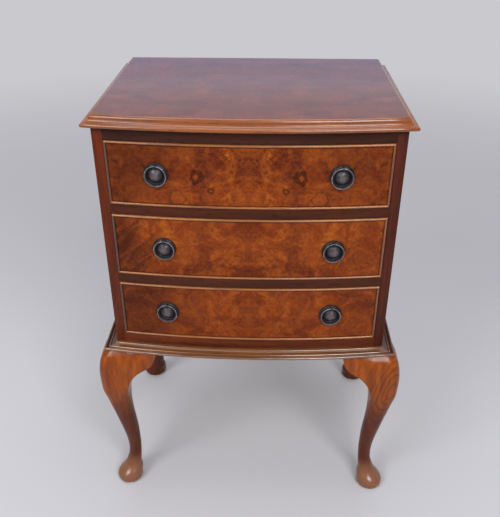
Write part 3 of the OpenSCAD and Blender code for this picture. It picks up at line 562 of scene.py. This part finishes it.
# %% [markdown]
# ## Leg walnut
#
# Each leg is sawn from a square block, so the growth rings are nearly flat layers. Where the knee
# bulges through those layers they show as ovals, one inside the other, and they are clearest on the
# right side of the chest. So the rings are drawn by the distance from a heart on the knee, stretched
# upright and leaning with the leg.

# %% Leg walnut: growth layers
LAYER_MM = 7.0
LAYER_BEND_MM = 10
# The bends of the layers, per metre: one about every 45 mm.
LAYER_BENDS = 22.0
OVAL_STRETCH = 2.4
OVAL_LEAN = 0.22
HEART_INSET_MM = 13
HEART_UP_MM = 240
# The rings are clear within the first distance from the heart and faint past the second.
CLEAR_MM = (22, 45)


def growth_layers(tree, place, axes, from_middle, centre_y):
    """The shade of the growth layers round each knee's heart, and how clearly they show."""
    low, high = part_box("leg_front_right")
    out_x = add_node(tree, "Math", [axes.outputs["X"]], operation="ABSOLUTE")
    out_y = add_node(tree, "Math", [from_middle], operation="ABSOLUTE")
    above = add_node(tree, "Math", [axes.outputs["Z"], HEART_UP_MM * MM], operation="SUBTRACT")
    leaned = add_node(tree, "Math", [above, -OVAL_LEAN, out_x], operation="MULTIPLY_ADD")
    squeezed = add_node(tree, "Math", [above, OVAL_STRETCH], operation="DIVIDE")
    spot = add_node(tree, "CombineXYZ", {"X": leaned, "Y": out_y, "Z": squeezed})
    heart = (high.x - HEART_INSET_MM * MM, centre_y - low.y, 0)
    offset = add_node(tree, "VectorMath", [spot, heart], operation="SUBTRACT")
    away = add_node(tree, "VectorMath", [offset], operation="LENGTH")
    bend = add_node(tree, "TexNoise", {"Vector": place, "Scale": LAYER_BENDS})
    bent = add_node(tree, "Math", [bend, LAYER_BEND_MM * MM, away], operation="MULTIPLY_ADD")
    waves = add_node(tree, "Math", [bent, 2 * math.pi / (LAYER_MM * MM)], operation="MULTIPLY")
    rings = add_node(tree, "Math", [waves], operation="SINE")
    shade = add_node(tree, "MapRange", [rings, -1.0, -0.2, 0.56, 1.02])
    right = add_node(tree, "MapRange", [axes.outputs["X"], -0.1, 0.1, 0.3, 0.9])
    near = add_node(tree, "MapRange", [away, CLEAR_MM[0] * MM, CLEAR_MM[1] * MM, 1.0, 0.15])
    clear = add_node(tree, "Math", [right, near], operation="MULTIPLY")
    return shade, clear


# %% [markdown]
# The knees are bright orange and the shins are darker. The two front feet are painted paler, as painted
# light on the feet that stand in front, and have a fuller polish, so they shine more than the legs above
# them.

# %% Leg walnut: tones and polish
SHIN_MM = (150, 230)
FOOT_MM = (25, 60)
# The paler colour painted on the front feet as painted light, and how much of it.
LIT_FOOT = "#945C35"
LIT_FOOT_SHARE = 0.6
LEG_GRAIN_MM = 8


def leg_walnut(centre_y):
    """Walnut of the legs and ears, darker at the shins, with painted light and a fuller polish on the
    front feet.
    """
    material, tree, place = new_material("leg_walnut")
    axes = add_node(tree, "SeparateXYZ", {"Vector": place})
    height = axes.outputs["Z"]
    from_middle = add_node(tree, "Math", [axes.outputs["Y"], centre_y], operation="SUBTRACT")
    drawn = add_node(tree, "Mapping", {"Vector": place, "Scale": drawn_along("Z", 0.10)})
    colour = noise_tones(tree, drawn, 1 / (LEG_GRAIN_MM * MM),
                         ((0.32, "#763000"), (0.50, "#863C00"), (0.68, "#984A02")), detail=4.0)
    ring_shade, clear = growth_layers(tree, place, axes, from_middle, centre_y)
    colour = shaded(tree, colour, ring_shade, clear)
    shin = add_node(tree, "MapRange", [height, SHIN_MM[0] * MM, SHIN_MM[1] * MM], **SMOOTH)
    shin_tone = add_node(tree, "ValToRGB", {"Fac": shin}, stops=((0.0, "#A3917A"), (1.0, "#FFFFFF")))
    colour = shaded(tree, colour, shin_tone)
    # The front feet: painted light in their colour, and a fuller polish.
    low_down = add_node(tree, "MapRange", [height, FOOT_MM[0] * MM, FOOT_MM[1] * MM, 1.0, 0.0],
                        **SMOOTH)
    in_front = add_node(tree, "Math", [from_middle, 0.0], operation="LESS_THAN")
    lit_and_waxed_toes = add_node(tree, "Math", [low_down, in_front], operation="MULTIPLY")
    lit_foot = add_node(tree, "Math", [lit_and_waxed_toes, LIT_FOOT_SHARE], operation="MULTIPLY")
    colour = add_node(tree, "Mix", {"Factor": lit_foot, "A": colour, "B": LIT_FOOT}, data_type="RGBA")
    colour, pores = add_pores(tree, colour, place, drawn_along("Z", 0.12),
                              stops=((0.57, 1.0), (0.68, 0.6)), amount=0.6)
    gloss = uneven_gloss(tree, place, POLISH_PATCHES, 0.16, 0.30)[0]
    polish_weight = add_node(tree, "MapRange", [lit_and_waxed_toes, 0.0, 1.0, 0.42, 1.0])
    finish_material(tree, colour, gloss, pores, 0.03, Specular_IOR_Level=0.02,
                    Coat_Weight=polish_weight, Coat_IOR=1.65, Coat_Roughness=0.22)
    return material


base_low, base_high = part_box("base_board")
leg_wood = leg_walnut((base_low.y + base_high.y) / 2)
print("Growth layers:", LAYER_MM, "mm apart")

# %% [markdown]
# ## Metals
#
# The ring pulls are cast brass, toned nearly black. Fingers have rubbed the high places back to a
# greyish brown, and the same places carry a painted highlight; the hollows are still dark and dull. How
# much a place is worn and lit is stored on each point of the mesh, because it follows the shape. The
# screws, pins and nuts are plain steel.

# %% Aged brass and steel
BRASS_PATCH_MM = 5
CAST_GRIT_MM = 1.2
STEEL_PATCH_MM = 3


def aged_brass():
    """Dark toned brass, lighter where its points are marked as worn and as painted highlight."""
    material, tree, place = new_material("aged_brass")
    patches = add_node(tree, "TexNoise", {
        "Vector": place, "Scale": 1 / (BRASS_PATCH_MM * MM), "Detail": 4.0, "Roughness": 0.6})
    rubbed_and_lit = add_node(tree, "Attribute", attribute_name="rubbed_and_lit").outputs["Fac"]
    spread = add_node(tree, "MapRange", [patches, 0.3, 0.7, -0.18, 0.18])
    # The marked places are lighter: worn brass, and a painted highlight.
    wear_and_highlight = add_node(tree, "Math", [rubbed_and_lit, spread], operation="ADD")
    colour = add_node(tree, "ValToRGB", {"Fac": wear_and_highlight}, stops=(
        (0.05, "#232226"), (0.40, "#39363A"), (0.75, "#7A6C6E"), (1.0, "#D2BCB0")))
    roughness = add_node(tree, "MapRange", [wear_and_highlight, 0.0, 1.0, 0.50, 0.30])
    bare = add_node(tree, "MapRange", [wear_and_highlight, 0.0, 1.0, 0.35, 1.0])
    grit = add_node(tree, "TexNoise", {"Vector": place, "Scale": 1 / (CAST_GRIT_MM * MM)})
    finish_material(tree, colour, roughness, grit, 0.03, Metallic=bare)
    return material


def dull_steel():
    """Drawn and turned steel of screws, pins and nuts, a little dull."""
    material, tree, place = new_material("dull_steel")
    roughness, patches = uneven_gloss(tree, place, 1 / (STEEL_PATCH_MM * MM), 0.3, 0.55)
    colour = add_node(tree, "ValToRGB", {"Fac": patches}, stops=((0.35, "#77746F"), (0.65, "#A5A29C")))
    finish_material(tree, colour, roughness, patches, 0.03, Metallic=1.0)
    return material


brass = aged_brass()
steel = dull_steel()
print("Metals:", brass.name, "and", steel.name)

# %% [markdown]
# ## Finishing the sawn pieces
#
# A CAD piece arrives as loose triangles with knife-sharp edges. A cabinet maker takes each edge off
# with a stroke of sandpaper, and that narrow rounding is what catches the light. So each piece is
# copied, its loose triangles are merged, its flat faces are joined, and its edges get a small bevel.

# %% Finishing helpers
# Points closer than this are one point, and faces flatter than this to each other are one face.
MERGE_MM = 0.002
FLAT_ANGLE = 0.4
ARRIS_ANGLE = 40


def select_only(obj):
    """Makes obj the only selected object and the active one."""
    bpy.ops.object.select_all(action="DESELECT")
    obj.select_set(True)
    bpy.context.view_layer.objects.active = obj


def apply_modifier(obj, kind, **settings):
    """Adds a modifier, sets it and applies it at once."""
    select_only(obj)
    modifier = obj.modifiers.new(kind.lower(), kind)
    for name, value in settings.items():
        setattr(modifier, name, value)
    bpy.ops.object.modifier_apply(modifier=modifier.name)


def edit_all():
    """Opens the active object in edit mode, with all of it selected."""
    bpy.ops.object.mode_set(mode="EDIT")
    bpy.ops.mesh.select_all(action="SELECT")


def coat(piece, material, smooth_angle):
    """Gives a piece its finish, and shades it smooth up to that angle."""
    select_only(piece)
    bpy.ops.object.shade_smooth_by_angle(angle=math.radians(smooth_angle))
    piece.data.materials.append(material)


def merged_copy(node):
    """A copy of a CAD node with its loose triangles merged, which stands for the node."""
    piece = bpy.data.objects.new(node + "_finished", nodes[node].data.copy())
    bpy.context.collection.objects.link(piece)
    piece.data.materials.clear()
    select_only(piece)
    bpy.ops.mesh.customdata_custom_splitnormals_clear()
    edit_all()
    bpy.ops.mesh.remove_doubles(threshold=MERGE_MM * MM)
    bpy.ops.object.mode_set(mode="OBJECT")
    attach(piece, nodes[node]["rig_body"])
    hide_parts(node)
    return piece


def sawn_piece(node, material, arris_mm=0.5, smooth_angle=30):
    """A merged copy with its flat faces joined and its edges rounded by arris_mm."""
    piece = merged_copy(node)
    edit_all()
    bpy.ops.mesh.dissolve_limited(angle_limit=math.radians(FLAT_ANGLE))
    bpy.ops.object.mode_set(mode="OBJECT")
    if arris_mm:
        apply_modifier(piece, "BEVEL", width=arris_mm * MM, segments=2, limit_method="ANGLE",
                       angle_limit=math.radians(ARRIS_ANGLE), use_clamp_overlap=True)
    coat(piece, material, smooth_angle)
    return piece


def paint_faces(piece, material, chosen):
    """Gives a second material to the faces for which chosen(centre, normal) is true."""
    piece.data.materials.append(material)
    count = 0
    for face in piece.data.polygons:
        if chosen(face.center, face.normal):
            face.material_index = len(piece.data.materials) - 1
            count += 1
    return count


# %% [markdown]
# ## The case
#
# The top is one board: its upper face is veneered, and its two ends are end grain, which takes the
# stain darker than the long moulding in front. The rails, boards and runners are plain sawn pieces.

# %% Case, rails and mouldings
top = sawn_piece("top_board", woods["top_moulding_walnut"], arris_mm=0.3)
veneer_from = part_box("top_board")[1].z - 0.2 * MM
veneered = paint_faces(top, top_burr, lambda centre, normal: normal.z > 0.99 and centre.z > veneer_from)
paint_faces(top, woods["side_moulding_walnut"], lambda centre, normal: abs(normal.x) > 0.75)
print("Veneered faces of the top:", veneered)
for side in SIDES:
    sawn_piece("side_" + side, woods[side + "_side_walnut_painted_light"])
    sawn_piece("base_moulding_" + side, woods["side_moulding_walnut"],
               arris_mm=0.2)
sawn_piece("base_moulding_front", woods["base_moulding_walnut"], arris_mm=0.2)
sawn_piece("frieze_rail", woods["shaded_frieze_walnut"], arris_mm=0.3)
for node in ("upper_rail", "lower_rail", "bottom_rail"):
    sawn_piece(node, woods[node + "_walnut"], arris_mm=0.3)
for node in ("bottom_board", "base_board", "back_rail", "corner_blocks"):
    sawn_piece(node, woods["cross_oak"], arris_mm=0.4)
for node in ("drawer_runners", "kickers", "drawer_stops"):
    sawn_piece(node, woods["drawer_oak"], arris_mm=0.3)
sawn_piece("back_panel", woods["birch_plywood"], arris_mm=0.3)
for node in ("back_pins", "corner_screws"):
    sawn_piece(node, steel, arris_mm=0)

# %% [markdown]
# ## The drawers
#
# A drawer's front is an oak board with burr walnut laid on its face only. The sides, back and bottom
# are plain. The cock beads are let into a rebate round the front and stand a little proud of it. The
# beads are one walnut in lit and shaded copies: the level strips are painted lighter, and the upright
# ones darker as painted shade, the left ones darkest.

# %% Drawers
for level in LEVELS:
    drawer = level + "_drawer_"
    front = sawn_piece(drawer + "front", woods["cross_oak"], arris_mm=0)
    paint_faces(front, fronts[level], lambda centre, normal: normal.y < -0.6)
    beads = sawn_piece(drawer + "beads", woods["lit_cock_bead_walnut"], arris_mm=0,
                       smooth_angle=40)
    upright_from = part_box(drawer + "beads")[1].x - 1.2 * BEAD_W * MM
    # The upright strips get the copies painted darker, as painted shade.
    paint_faces(beads, woods["shaded_left_bead_walnut"], lambda centre, normal: centre.x < -upright_from)
    paint_faces(beads, woods["shaded_right_bead_walnut"], lambda centre, normal: centre.x > upright_from)
    for side in SIDES:
        sawn_piece(drawer + "side_" + side, woods["drawer_oak"], arris_mm=0.4)
    sawn_piece(drawer + "back", woods["cross_oak"], arris_mm=0.4)
    sawn_piece(drawer + "bottom", woods["birch_plywood"], arris_mm=0)
    sawn_piece(drawer + "nuts", steel, arris_mm=0.2)
print(len(LEVELS), "drawers")

# %% [markdown]
# ## The legs and their ears
#
# A cabriole leg is carved, so only its ends are flat. Its merged triangles are joined in pairs to make
# a net of four-sided faces, the edges of the flat ends are creased, and a subdivision surface then
# rounds everything between them.

# %% Legs and ears
QUAD_ANGLE = 40
QUAD_SHAPE_ANGLE = 60
SHARP_ANGLE = 55
ROUNDING_LEVELS = 2


def carved_piece(node):
    """A merged copy rounded by a subdivision surface, with its sharp edges kept."""
    piece = merged_copy(node)
    edit_all()
    bpy.ops.mesh.select_mode(type="EDGE")
    bpy.ops.mesh.tris_convert_to_quads(face_threshold=math.radians(QUAD_ANGLE),
                                       shape_threshold=math.radians(QUAD_SHAPE_ANGLE))
    bpy.ops.mesh.select_all(action="DESELECT")
    bpy.ops.mesh.edges_select_sharp(sharpness=math.radians(SHARP_ANGLE))
    bpy.ops.transform.edge_crease(value=1.0)
    bpy.ops.object.mode_set(mode="OBJECT")
    apply_modifier(piece, "SUBSURF", levels=ROUNDING_LEVELS, render_levels=ROUNDING_LEVELS)
    coat(piece, leg_wood, smooth_angle=50)
    return piece


for node in nodes:
    if node.startswith(("leg_", "ear_")):
        carved = carved_piece(node)
        print(node, len(carved.data.polygons), "faces")

# %% [markdown]
# ## The ring pulls
#
# Each pull is a turned plate with a reeded rim, a hollow and a domed boss, an eye at the top, and a
# cast ring that hangs in the eye. The plate starts as a circle, and its face is inset and raised step
# by step, the way its outline was turned. Each pattern is modelled once, flat at the origin, with z out
# of the drawer and y up. The dome's steps come from a circle's own formula.

# %% Turned plate
PLATE_R = 17.5
PLATE_EDGE = 1.4
# The steps of the rim and of the field inside it: how far in and how far up each one goes, in mm.
RIM = ((0.15, 0.45), (0.35, 0.4), (0.45, 0.15), (0.45, -0.15), (0.35, -0.4), (0.25, -0.15))
FIELD = ((0.35, 0.35), (0.6, 0.45), (0.5, 0.1), (0.5, -0.1), (0.35, -0.35), (0.3, -0.25))
FLOOR_Z = 2.0
BOSS_R = 12.0
BOSS_H = 9.0
DOME_STEPS = 12


def just_added(name):
    """The primitive that was just added, with that name."""
    obj = bpy.context.object
    obj.name = name
    return obj


def extrude_up(rise_mm):
    """Draws the selected face out along z."""
    bpy.ops.mesh.extrude_region_move(TRANSFORM_OT_translate={"value": (0, 0, rise_mm * MM)})


def dome_steps(radius, rise, steps):
    """How far in and how far up each step goes on a dome of that radius and rise."""
    ball = (radius ** 2 + rise ** 2) / (2 * rise)
    edge_angle = math.asin(radius / ball)
    angles = [edge_angle * (1 - n / steps) for n in range(steps)]
    points = [(ball * math.sin(angle), ball * math.cos(angle)) for angle in angles]
    return [(near[0] - far[0], far[1] - near[1]) for near, far in zip(points, points[1:])]


def turned_plate():
    """A disc whose face is inset and raised in steps: rim, field, hollow and dome."""
    bpy.ops.object.select_all(action="DESELECT")
    bpy.ops.mesh.primitive_circle_add(vertices=96, radius=PLATE_R * MM, fill_type="NGON")
    plate = just_added("plate_pattern")
    edit_all()
    extrude_up(PLATE_EDGE)
    inward_so_far = 0
    height = PLATE_EDGE
    for inward, up in RIM + FIELD:
        bpy.ops.mesh.inset(thickness=inward * MM, depth=up * MM)
        inward_so_far += inward
        height += up
    bpy.ops.mesh.inset(thickness=(PLATE_R - inward_so_far - BOSS_R) * MM, depth=(FLOOR_Z - height) * MM)
    for inward, up in dome_steps(BOSS_R, BOSS_H - FLOOR_Z, DOME_STEPS):
        bpy.ops.mesh.inset(thickness=inward * MM, depth=up * MM)
    bpy.ops.mesh.poke()
    bpy.ops.object.mode_set(mode="OBJECT")
    return plate


plate_pattern = turned_plate()
print("Plate pattern:", [round(size / MM, 2) for size in plate_pattern.dimensions], "mm")

# %% [markdown]
# The eye is a short tube across the top of the plate, on a neck, and a threaded stud runs through the
# drawer front behind it. They are separate shapes at first. A Boolean union then makes one closed metal
# piece of them, so that no faces are left inside.

# %% Eye, neck and stud
RING_D = 32.5
WIRE_D = 3.6
RING_R = (RING_D - WIRE_D) / 2
EYE_Y = RING_R - 1
EYE_Z = 5.15
EYE_BORE = 4.4
EYE_WALL = 1.2
EYE_W = 3.0
EYE_LIP = 0.4
NECK_FROM = 0.6
NECK_R = (2.4, 1.4)
NECK_GAP = 0.3
STUD_D = 4.0
STUD_LENGTH = 26.5
STUD_OVERLAP = 0.6
THREAD_CORE = 0.94
THREAD_TURNS = 12
THREAD_PITCH = 0.7


def eye_tube():
    """An open tube along x, given a wall and rounded lips."""
    bpy.ops.object.select_all(action="DESELECT")
    bpy.ops.mesh.primitive_cylinder_add(vertices=40, radius=EYE_BORE / 2 * MM, depth=EYE_W * MM,
                                        end_fill_type="NOTHING", location=(0, EYE_Y * MM, EYE_Z * MM),
                                        rotation=(0, math.radians(90), 0))
    eye = just_added("eye")
    bpy.ops.object.transform_apply()
    apply_modifier(eye, "SOLIDIFY", thickness=EYE_WALL * MM, offset=1.0)
    apply_modifier(eye, "BEVEL", width=EYE_LIP * MM, segments=3, limit_method="ANGLE",
                   angle_limit=math.radians(50))
    return eye


def neck():
    """A tapered foot that carries the eye on the plate."""
    high = EYE_Z - EYE_BORE / 2 - NECK_GAP
    bpy.ops.object.select_all(action="DESELECT")
    bpy.ops.mesh.primitive_cone_add(vertices=32, radius1=NECK_R[0] * MM, radius2=NECK_R[1] * MM,
                                    depth=(high - NECK_FROM) * MM,
                                    location=(0, EYE_Y * MM, (NECK_FROM + high) / 2 * MM))
    foot = just_added("neck")
    bpy.ops.object.transform_apply()
    return foot


def stud():
    """A screw stud behind the plate: a rod whose rings of faces are drawn in to make threads."""
    bpy.ops.object.select_all(action="DESELECT")
    bpy.ops.mesh.primitive_circle_add(vertices=24, radius=STUD_D / 2 * THREAD_CORE * MM,
                                      fill_type="NGON", location=(0, 0, -STUD_LENGTH * MM))
    rod = just_added("stud")
    edit_all()
    bpy.ops.mesh.normals_make_consistent(inside=False)
    for scale in (1 / THREAD_CORE, THREAD_CORE) * THREAD_TURNS:
        extrude_up(THREAD_PITCH / 2)
        bpy.ops.transform.resize(value=(scale, scale, 1))
    extrude_up(STUD_LENGTH - THREAD_TURNS * THREAD_PITCH + STUD_OVERLAP)
    bpy.ops.mesh.select_all(action="SELECT")
    bpy.ops.mesh.normals_make_consistent(inside=False)
    bpy.ops.object.mode_set(mode="OBJECT")
    bpy.ops.object.transform_apply()
    return rod


for part in (eye_tube(), neck(), stud()):
    apply_modifier(plate_pattern, "BOOLEAN", operation="UNION", object=part, solver="EXACT")
    bpy.data.objects.remove(part)
print("Plate pattern with its eye:", len(plate_pattern.data.polygons), "faces")

# %% [markdown]
# The ring is a torus. Two small collars, cast beside the eye, keep it from sliding round. Each collar
# is one ring of points drawn outwards from the middle of the wire.

# %% Ring
COLLAR_ANGLE = 22.5
COLLAR_SCALE = 1.10
COLLAR_HALF_ANGLE = 2.5


def cast_ring():
    """A torus at the origin with two collars near its top."""
    bpy.ops.object.select_all(action="DESELECT")
    bpy.ops.mesh.primitive_torus_add(major_segments=96, minor_segments=20, major_radius=RING_R * MM,
                                     minor_radius=WIRE_D / 2 * MM)
    ring = just_added("ring_pattern")
    for turn in (-COLLAR_ANGLE, COLLAR_ANGLE):
        angle = math.radians(90 + turn)
        middle = Vector((RING_R * math.cos(angle), RING_R * math.sin(angle), 0)) * MM
        bpy.ops.object.mode_set(mode="EDIT")
        bpy.ops.mesh.select_all(action="DESELECT")
        bpy.ops.object.mode_set(mode="OBJECT")
        for vertex in ring.data.vertices:
            turned = math.atan2(vertex.co.y, vertex.co.x) - angle
            vertex.select = abs(turned) < math.radians(COLLAR_HALF_ANGLE)
        bpy.ops.object.mode_set(mode="EDIT")
        bpy.ops.transform.resize(value=(COLLAR_SCALE,) * 3, center_override=middle)
        bpy.ops.object.mode_set(mode="OBJECT")
    return ring


ring_pattern = cast_ring()
print("Ring pattern:", [round(size / MM, 2) for size in ring_pattern.dimensions], "mm")

# %% [markdown]
# The worn places, which also carry a painted highlight, are the crown of the dome, the reeds of the rim
# and a line round the front of the ring. Each point of a pattern gets a value from its place, and the
# copies keep it.

# %% Mark the worn places, which also carry painted highlights
CROWN_SHARE = 0.85
CROWN_WEAR_AND_HIGHLIGHT = 0.7
HOLLOW_R = PLATE_R - 3.5
RIM_Z = PLATE_EDGE + 0.6
# The worn line round the wire, which is also a painted highlight, in degrees: 0 is its outer side and 90
# its front.
WEAR_AND_HIGHLIGHT_ANGLE = 68
WEAR_AND_HIGHLIGHT_WIDTH = 26


def mark_rubbed_and_lit(pattern, how_rubbed_and_lit):
    """Stores how_rubbed_and_lit(distance from the middle, height, place up the drawer), in mm, on each
    point.
    """
    marks = pattern.data.attributes.new("rubbed_and_lit", "FLOAT", "POINT")
    for vertex, mark in zip(pattern.data.vertices, marks.data):
        x, y, z = vertex.co / MM
        mark.value = how_rubbed_and_lit(math.hypot(x, y), z, y)


def plate_rubbed_and_lit(distance, height, up):
    """The dome is worn and given a painted highlight at its crown, the hollow not at all, and the rim a
    little.
    """
    if distance < BOSS_R:
        return max(0.0, 1 - (distance / (CROWN_SHARE * BOSS_R)) ** 2) * CROWN_WEAR_AND_HIGHLIGHT
    if distance < HOLLOW_R:
        return 0.05
    return 0.30 if height > RIM_Z else 0.10


def ring_rubbed_and_lit(distance, height, up):
    """The ring is worn along a narrow line, a little outside its front, and more at its bottom; the line
    is also a painted highlight.
    """
    around = math.degrees(math.atan2(height, distance - RING_R))
    pulled_and_lit = 0.88 - 0.12 * up / RING_R
    return 0.15 + 0.85 * pulled_and_lit * math.exp(-((around - WEAR_AND_HIGHLIGHT_ANGLE) / WEAR_AND_HIGHLIGHT_WIDTH) ** 2)


mark_rubbed_and_lit(plate_pattern, plate_rubbed_and_lit)
mark_rubbed_and_lit(ring_pattern, ring_rubbed_and_lit)
print("Marked", len(plate_pattern.data.vertices) + len(ring_pattern.data.vertices), "points")

# %% [markdown]
# Every ring swings about the axis of its joint, and that axis runs through the eye. So the joint gives
# the place and the turn of each pull, and both patterns are carried there and left as plain meshes.

# %% Copy the pulls into place


def pull_matrix(joint):
    """The move of a pattern to the pull whose ring swings on that joint."""
    across = -Vector(joint["axis"])
    up = Vector((0, 0, 1))
    out = across.cross(up)
    origin = Vector(joint["pos_m"]) - up * EYE_Y * MM - out * EYE_Z * MM
    return Matrix.Translation(origin) @ Matrix((across, up, out)).transposed().to_4x4()


def placed_copy(pattern, name, joint, offset):
    """A copy of a pattern at one pull, moved by offset in the pattern's own millimetres first."""
    piece = bpy.data.objects.new(name, pattern.data.copy())
    bpy.context.collection.objects.link(piece)
    piece.data.transform(pull_matrix(joint) @ Matrix.Translation(Vector(offset) * MM))
    return piece


for level in LEVELS:
    plates = []
    for side in SIDES:
        joint = next(j for j in frame["joints"] if j["name"] == f"{level}_ring_{side}_swing")
        plates.append(placed_copy(plate_pattern, f"{level}_plate_{side}", joint, (0, 0, 0)))
        ring = placed_copy(ring_pattern, f"{level}_ring_{side}_cast", joint, (0, EYE_Y - RING_R, EYE_Z))
        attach(ring, joint["child"])
        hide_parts(joint["child"])
        coat(ring, brass, smooth_angle=60)
    for plate in plates:
        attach(plate, level + "_drawer")
        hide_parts(level + "_drawer_plates")
        coat(plate, brass, smooth_angle=28)
bpy.data.objects.remove(plate_pattern)
bpy.data.objects.remove(ring_pattern)
print(2 * len(LEVELS), "pulls")

# %% [markdown]
# ## Floor, lamps and background
#
# The chest stands on a plain pale floor that fades into a background of the same colour. Three large
# square lamps give soft light: the main one in front on the right, a weaker one in front on the left,
# and one above.

# %% Studio
BACKGROUND = "#C9C9CE"
FLOOR_R = 20.0
FADE_FROM = 0.8
FADE_TO = 3.0


def add_floor():
    """A pale floor that fades into the background away from the chest."""
    bpy.ops.object.select_all(action="DESELECT")
    bpy.ops.mesh.primitive_circle_add(vertices=64, radius=FLOOR_R, fill_type="NGON")
    floor = just_added("floor")
    material, tree, place = new_material("pale_floor")
    reach = add_node(tree, "VectorMath", [place], operation="LENGTH")
    fade = add_node(tree, "MapRange", [reach, FADE_FROM, FADE_TO], **SMOOTH)
    surface = add_node(tree, "BsdfPrincipled", {"Base Color": BACKGROUND, "Roughness": 0.9})
    plain = add_node(tree, "Emission", {"Color": BACKGROUND, "Strength": 1.0})
    mixed = add_node(tree, "MixShader", [fade, surface, plain])
    add_node(tree, "OutputMaterial", {"Surface": mixed})
    floor.data.materials.append(material)
    return floor


def add_world():
    """A pale world: the background's colour to the eye and in reflections, and a soft fill otherwise."""
    world = bpy.data.worlds.new("studio")
    world.use_nodes = True
    tree = world.node_tree
    tree.nodes.clear()
    path = add_node(tree, "LightPath")
    seen = add_node(tree, "Math", [path.outputs["Is Camera Ray"], path.outputs["Is Glossy Ray"]],
                    operation="MAXIMUM")
    seen = add_node(tree, "Math", [seen, path.outputs["Is Transmission Ray"]], operation="MAXIMUM")
    strength = add_node(tree, "MapRange", [seen, 0.0, 1.0, 0.50, 1.0])
    background = add_node(tree, "Background", {"Color": BACKGROUND, "Strength": strength})
    add_node(tree, "OutputWorld", {"Surface": background})
    bpy.context.scene.world = world
    return world


floor = add_floor()
world = add_world()
print("Stage:", floor.name, "and", world.name)

# %% Lamps
AIM = Vector((0, 0, 0.4))


def add_lamp(name, place, size, watts):
    """A square soft lamp that faces the middle of the chest."""
    light = bpy.data.lights.new(name, "AREA")
    light.shape = "SQUARE"
    light.size = size
    light.energy = watts
    lamp = bpy.data.objects.new(name, light)
    lamp.location = place
    lamp.rotation_euler = (AIM - Vector(place)).to_track_quat("-Z", "Y").to_euler()
    bpy.context.collection.objects.link(lamp)
    return lamp


add_lamp("key_lamp", (0.85, -2.1, 2.2), 1.2, 46)
add_lamp("fill_lamp", (-1.4, -1.7, 2.0), 1.2, 32)
add_lamp("top_lamp", (0.0, 0.4, 2.8), 1.8, 24)
bpy.context.scene.view_settings.view_transform = "Standard"
print(len(bpy.data.lights), "lamps")
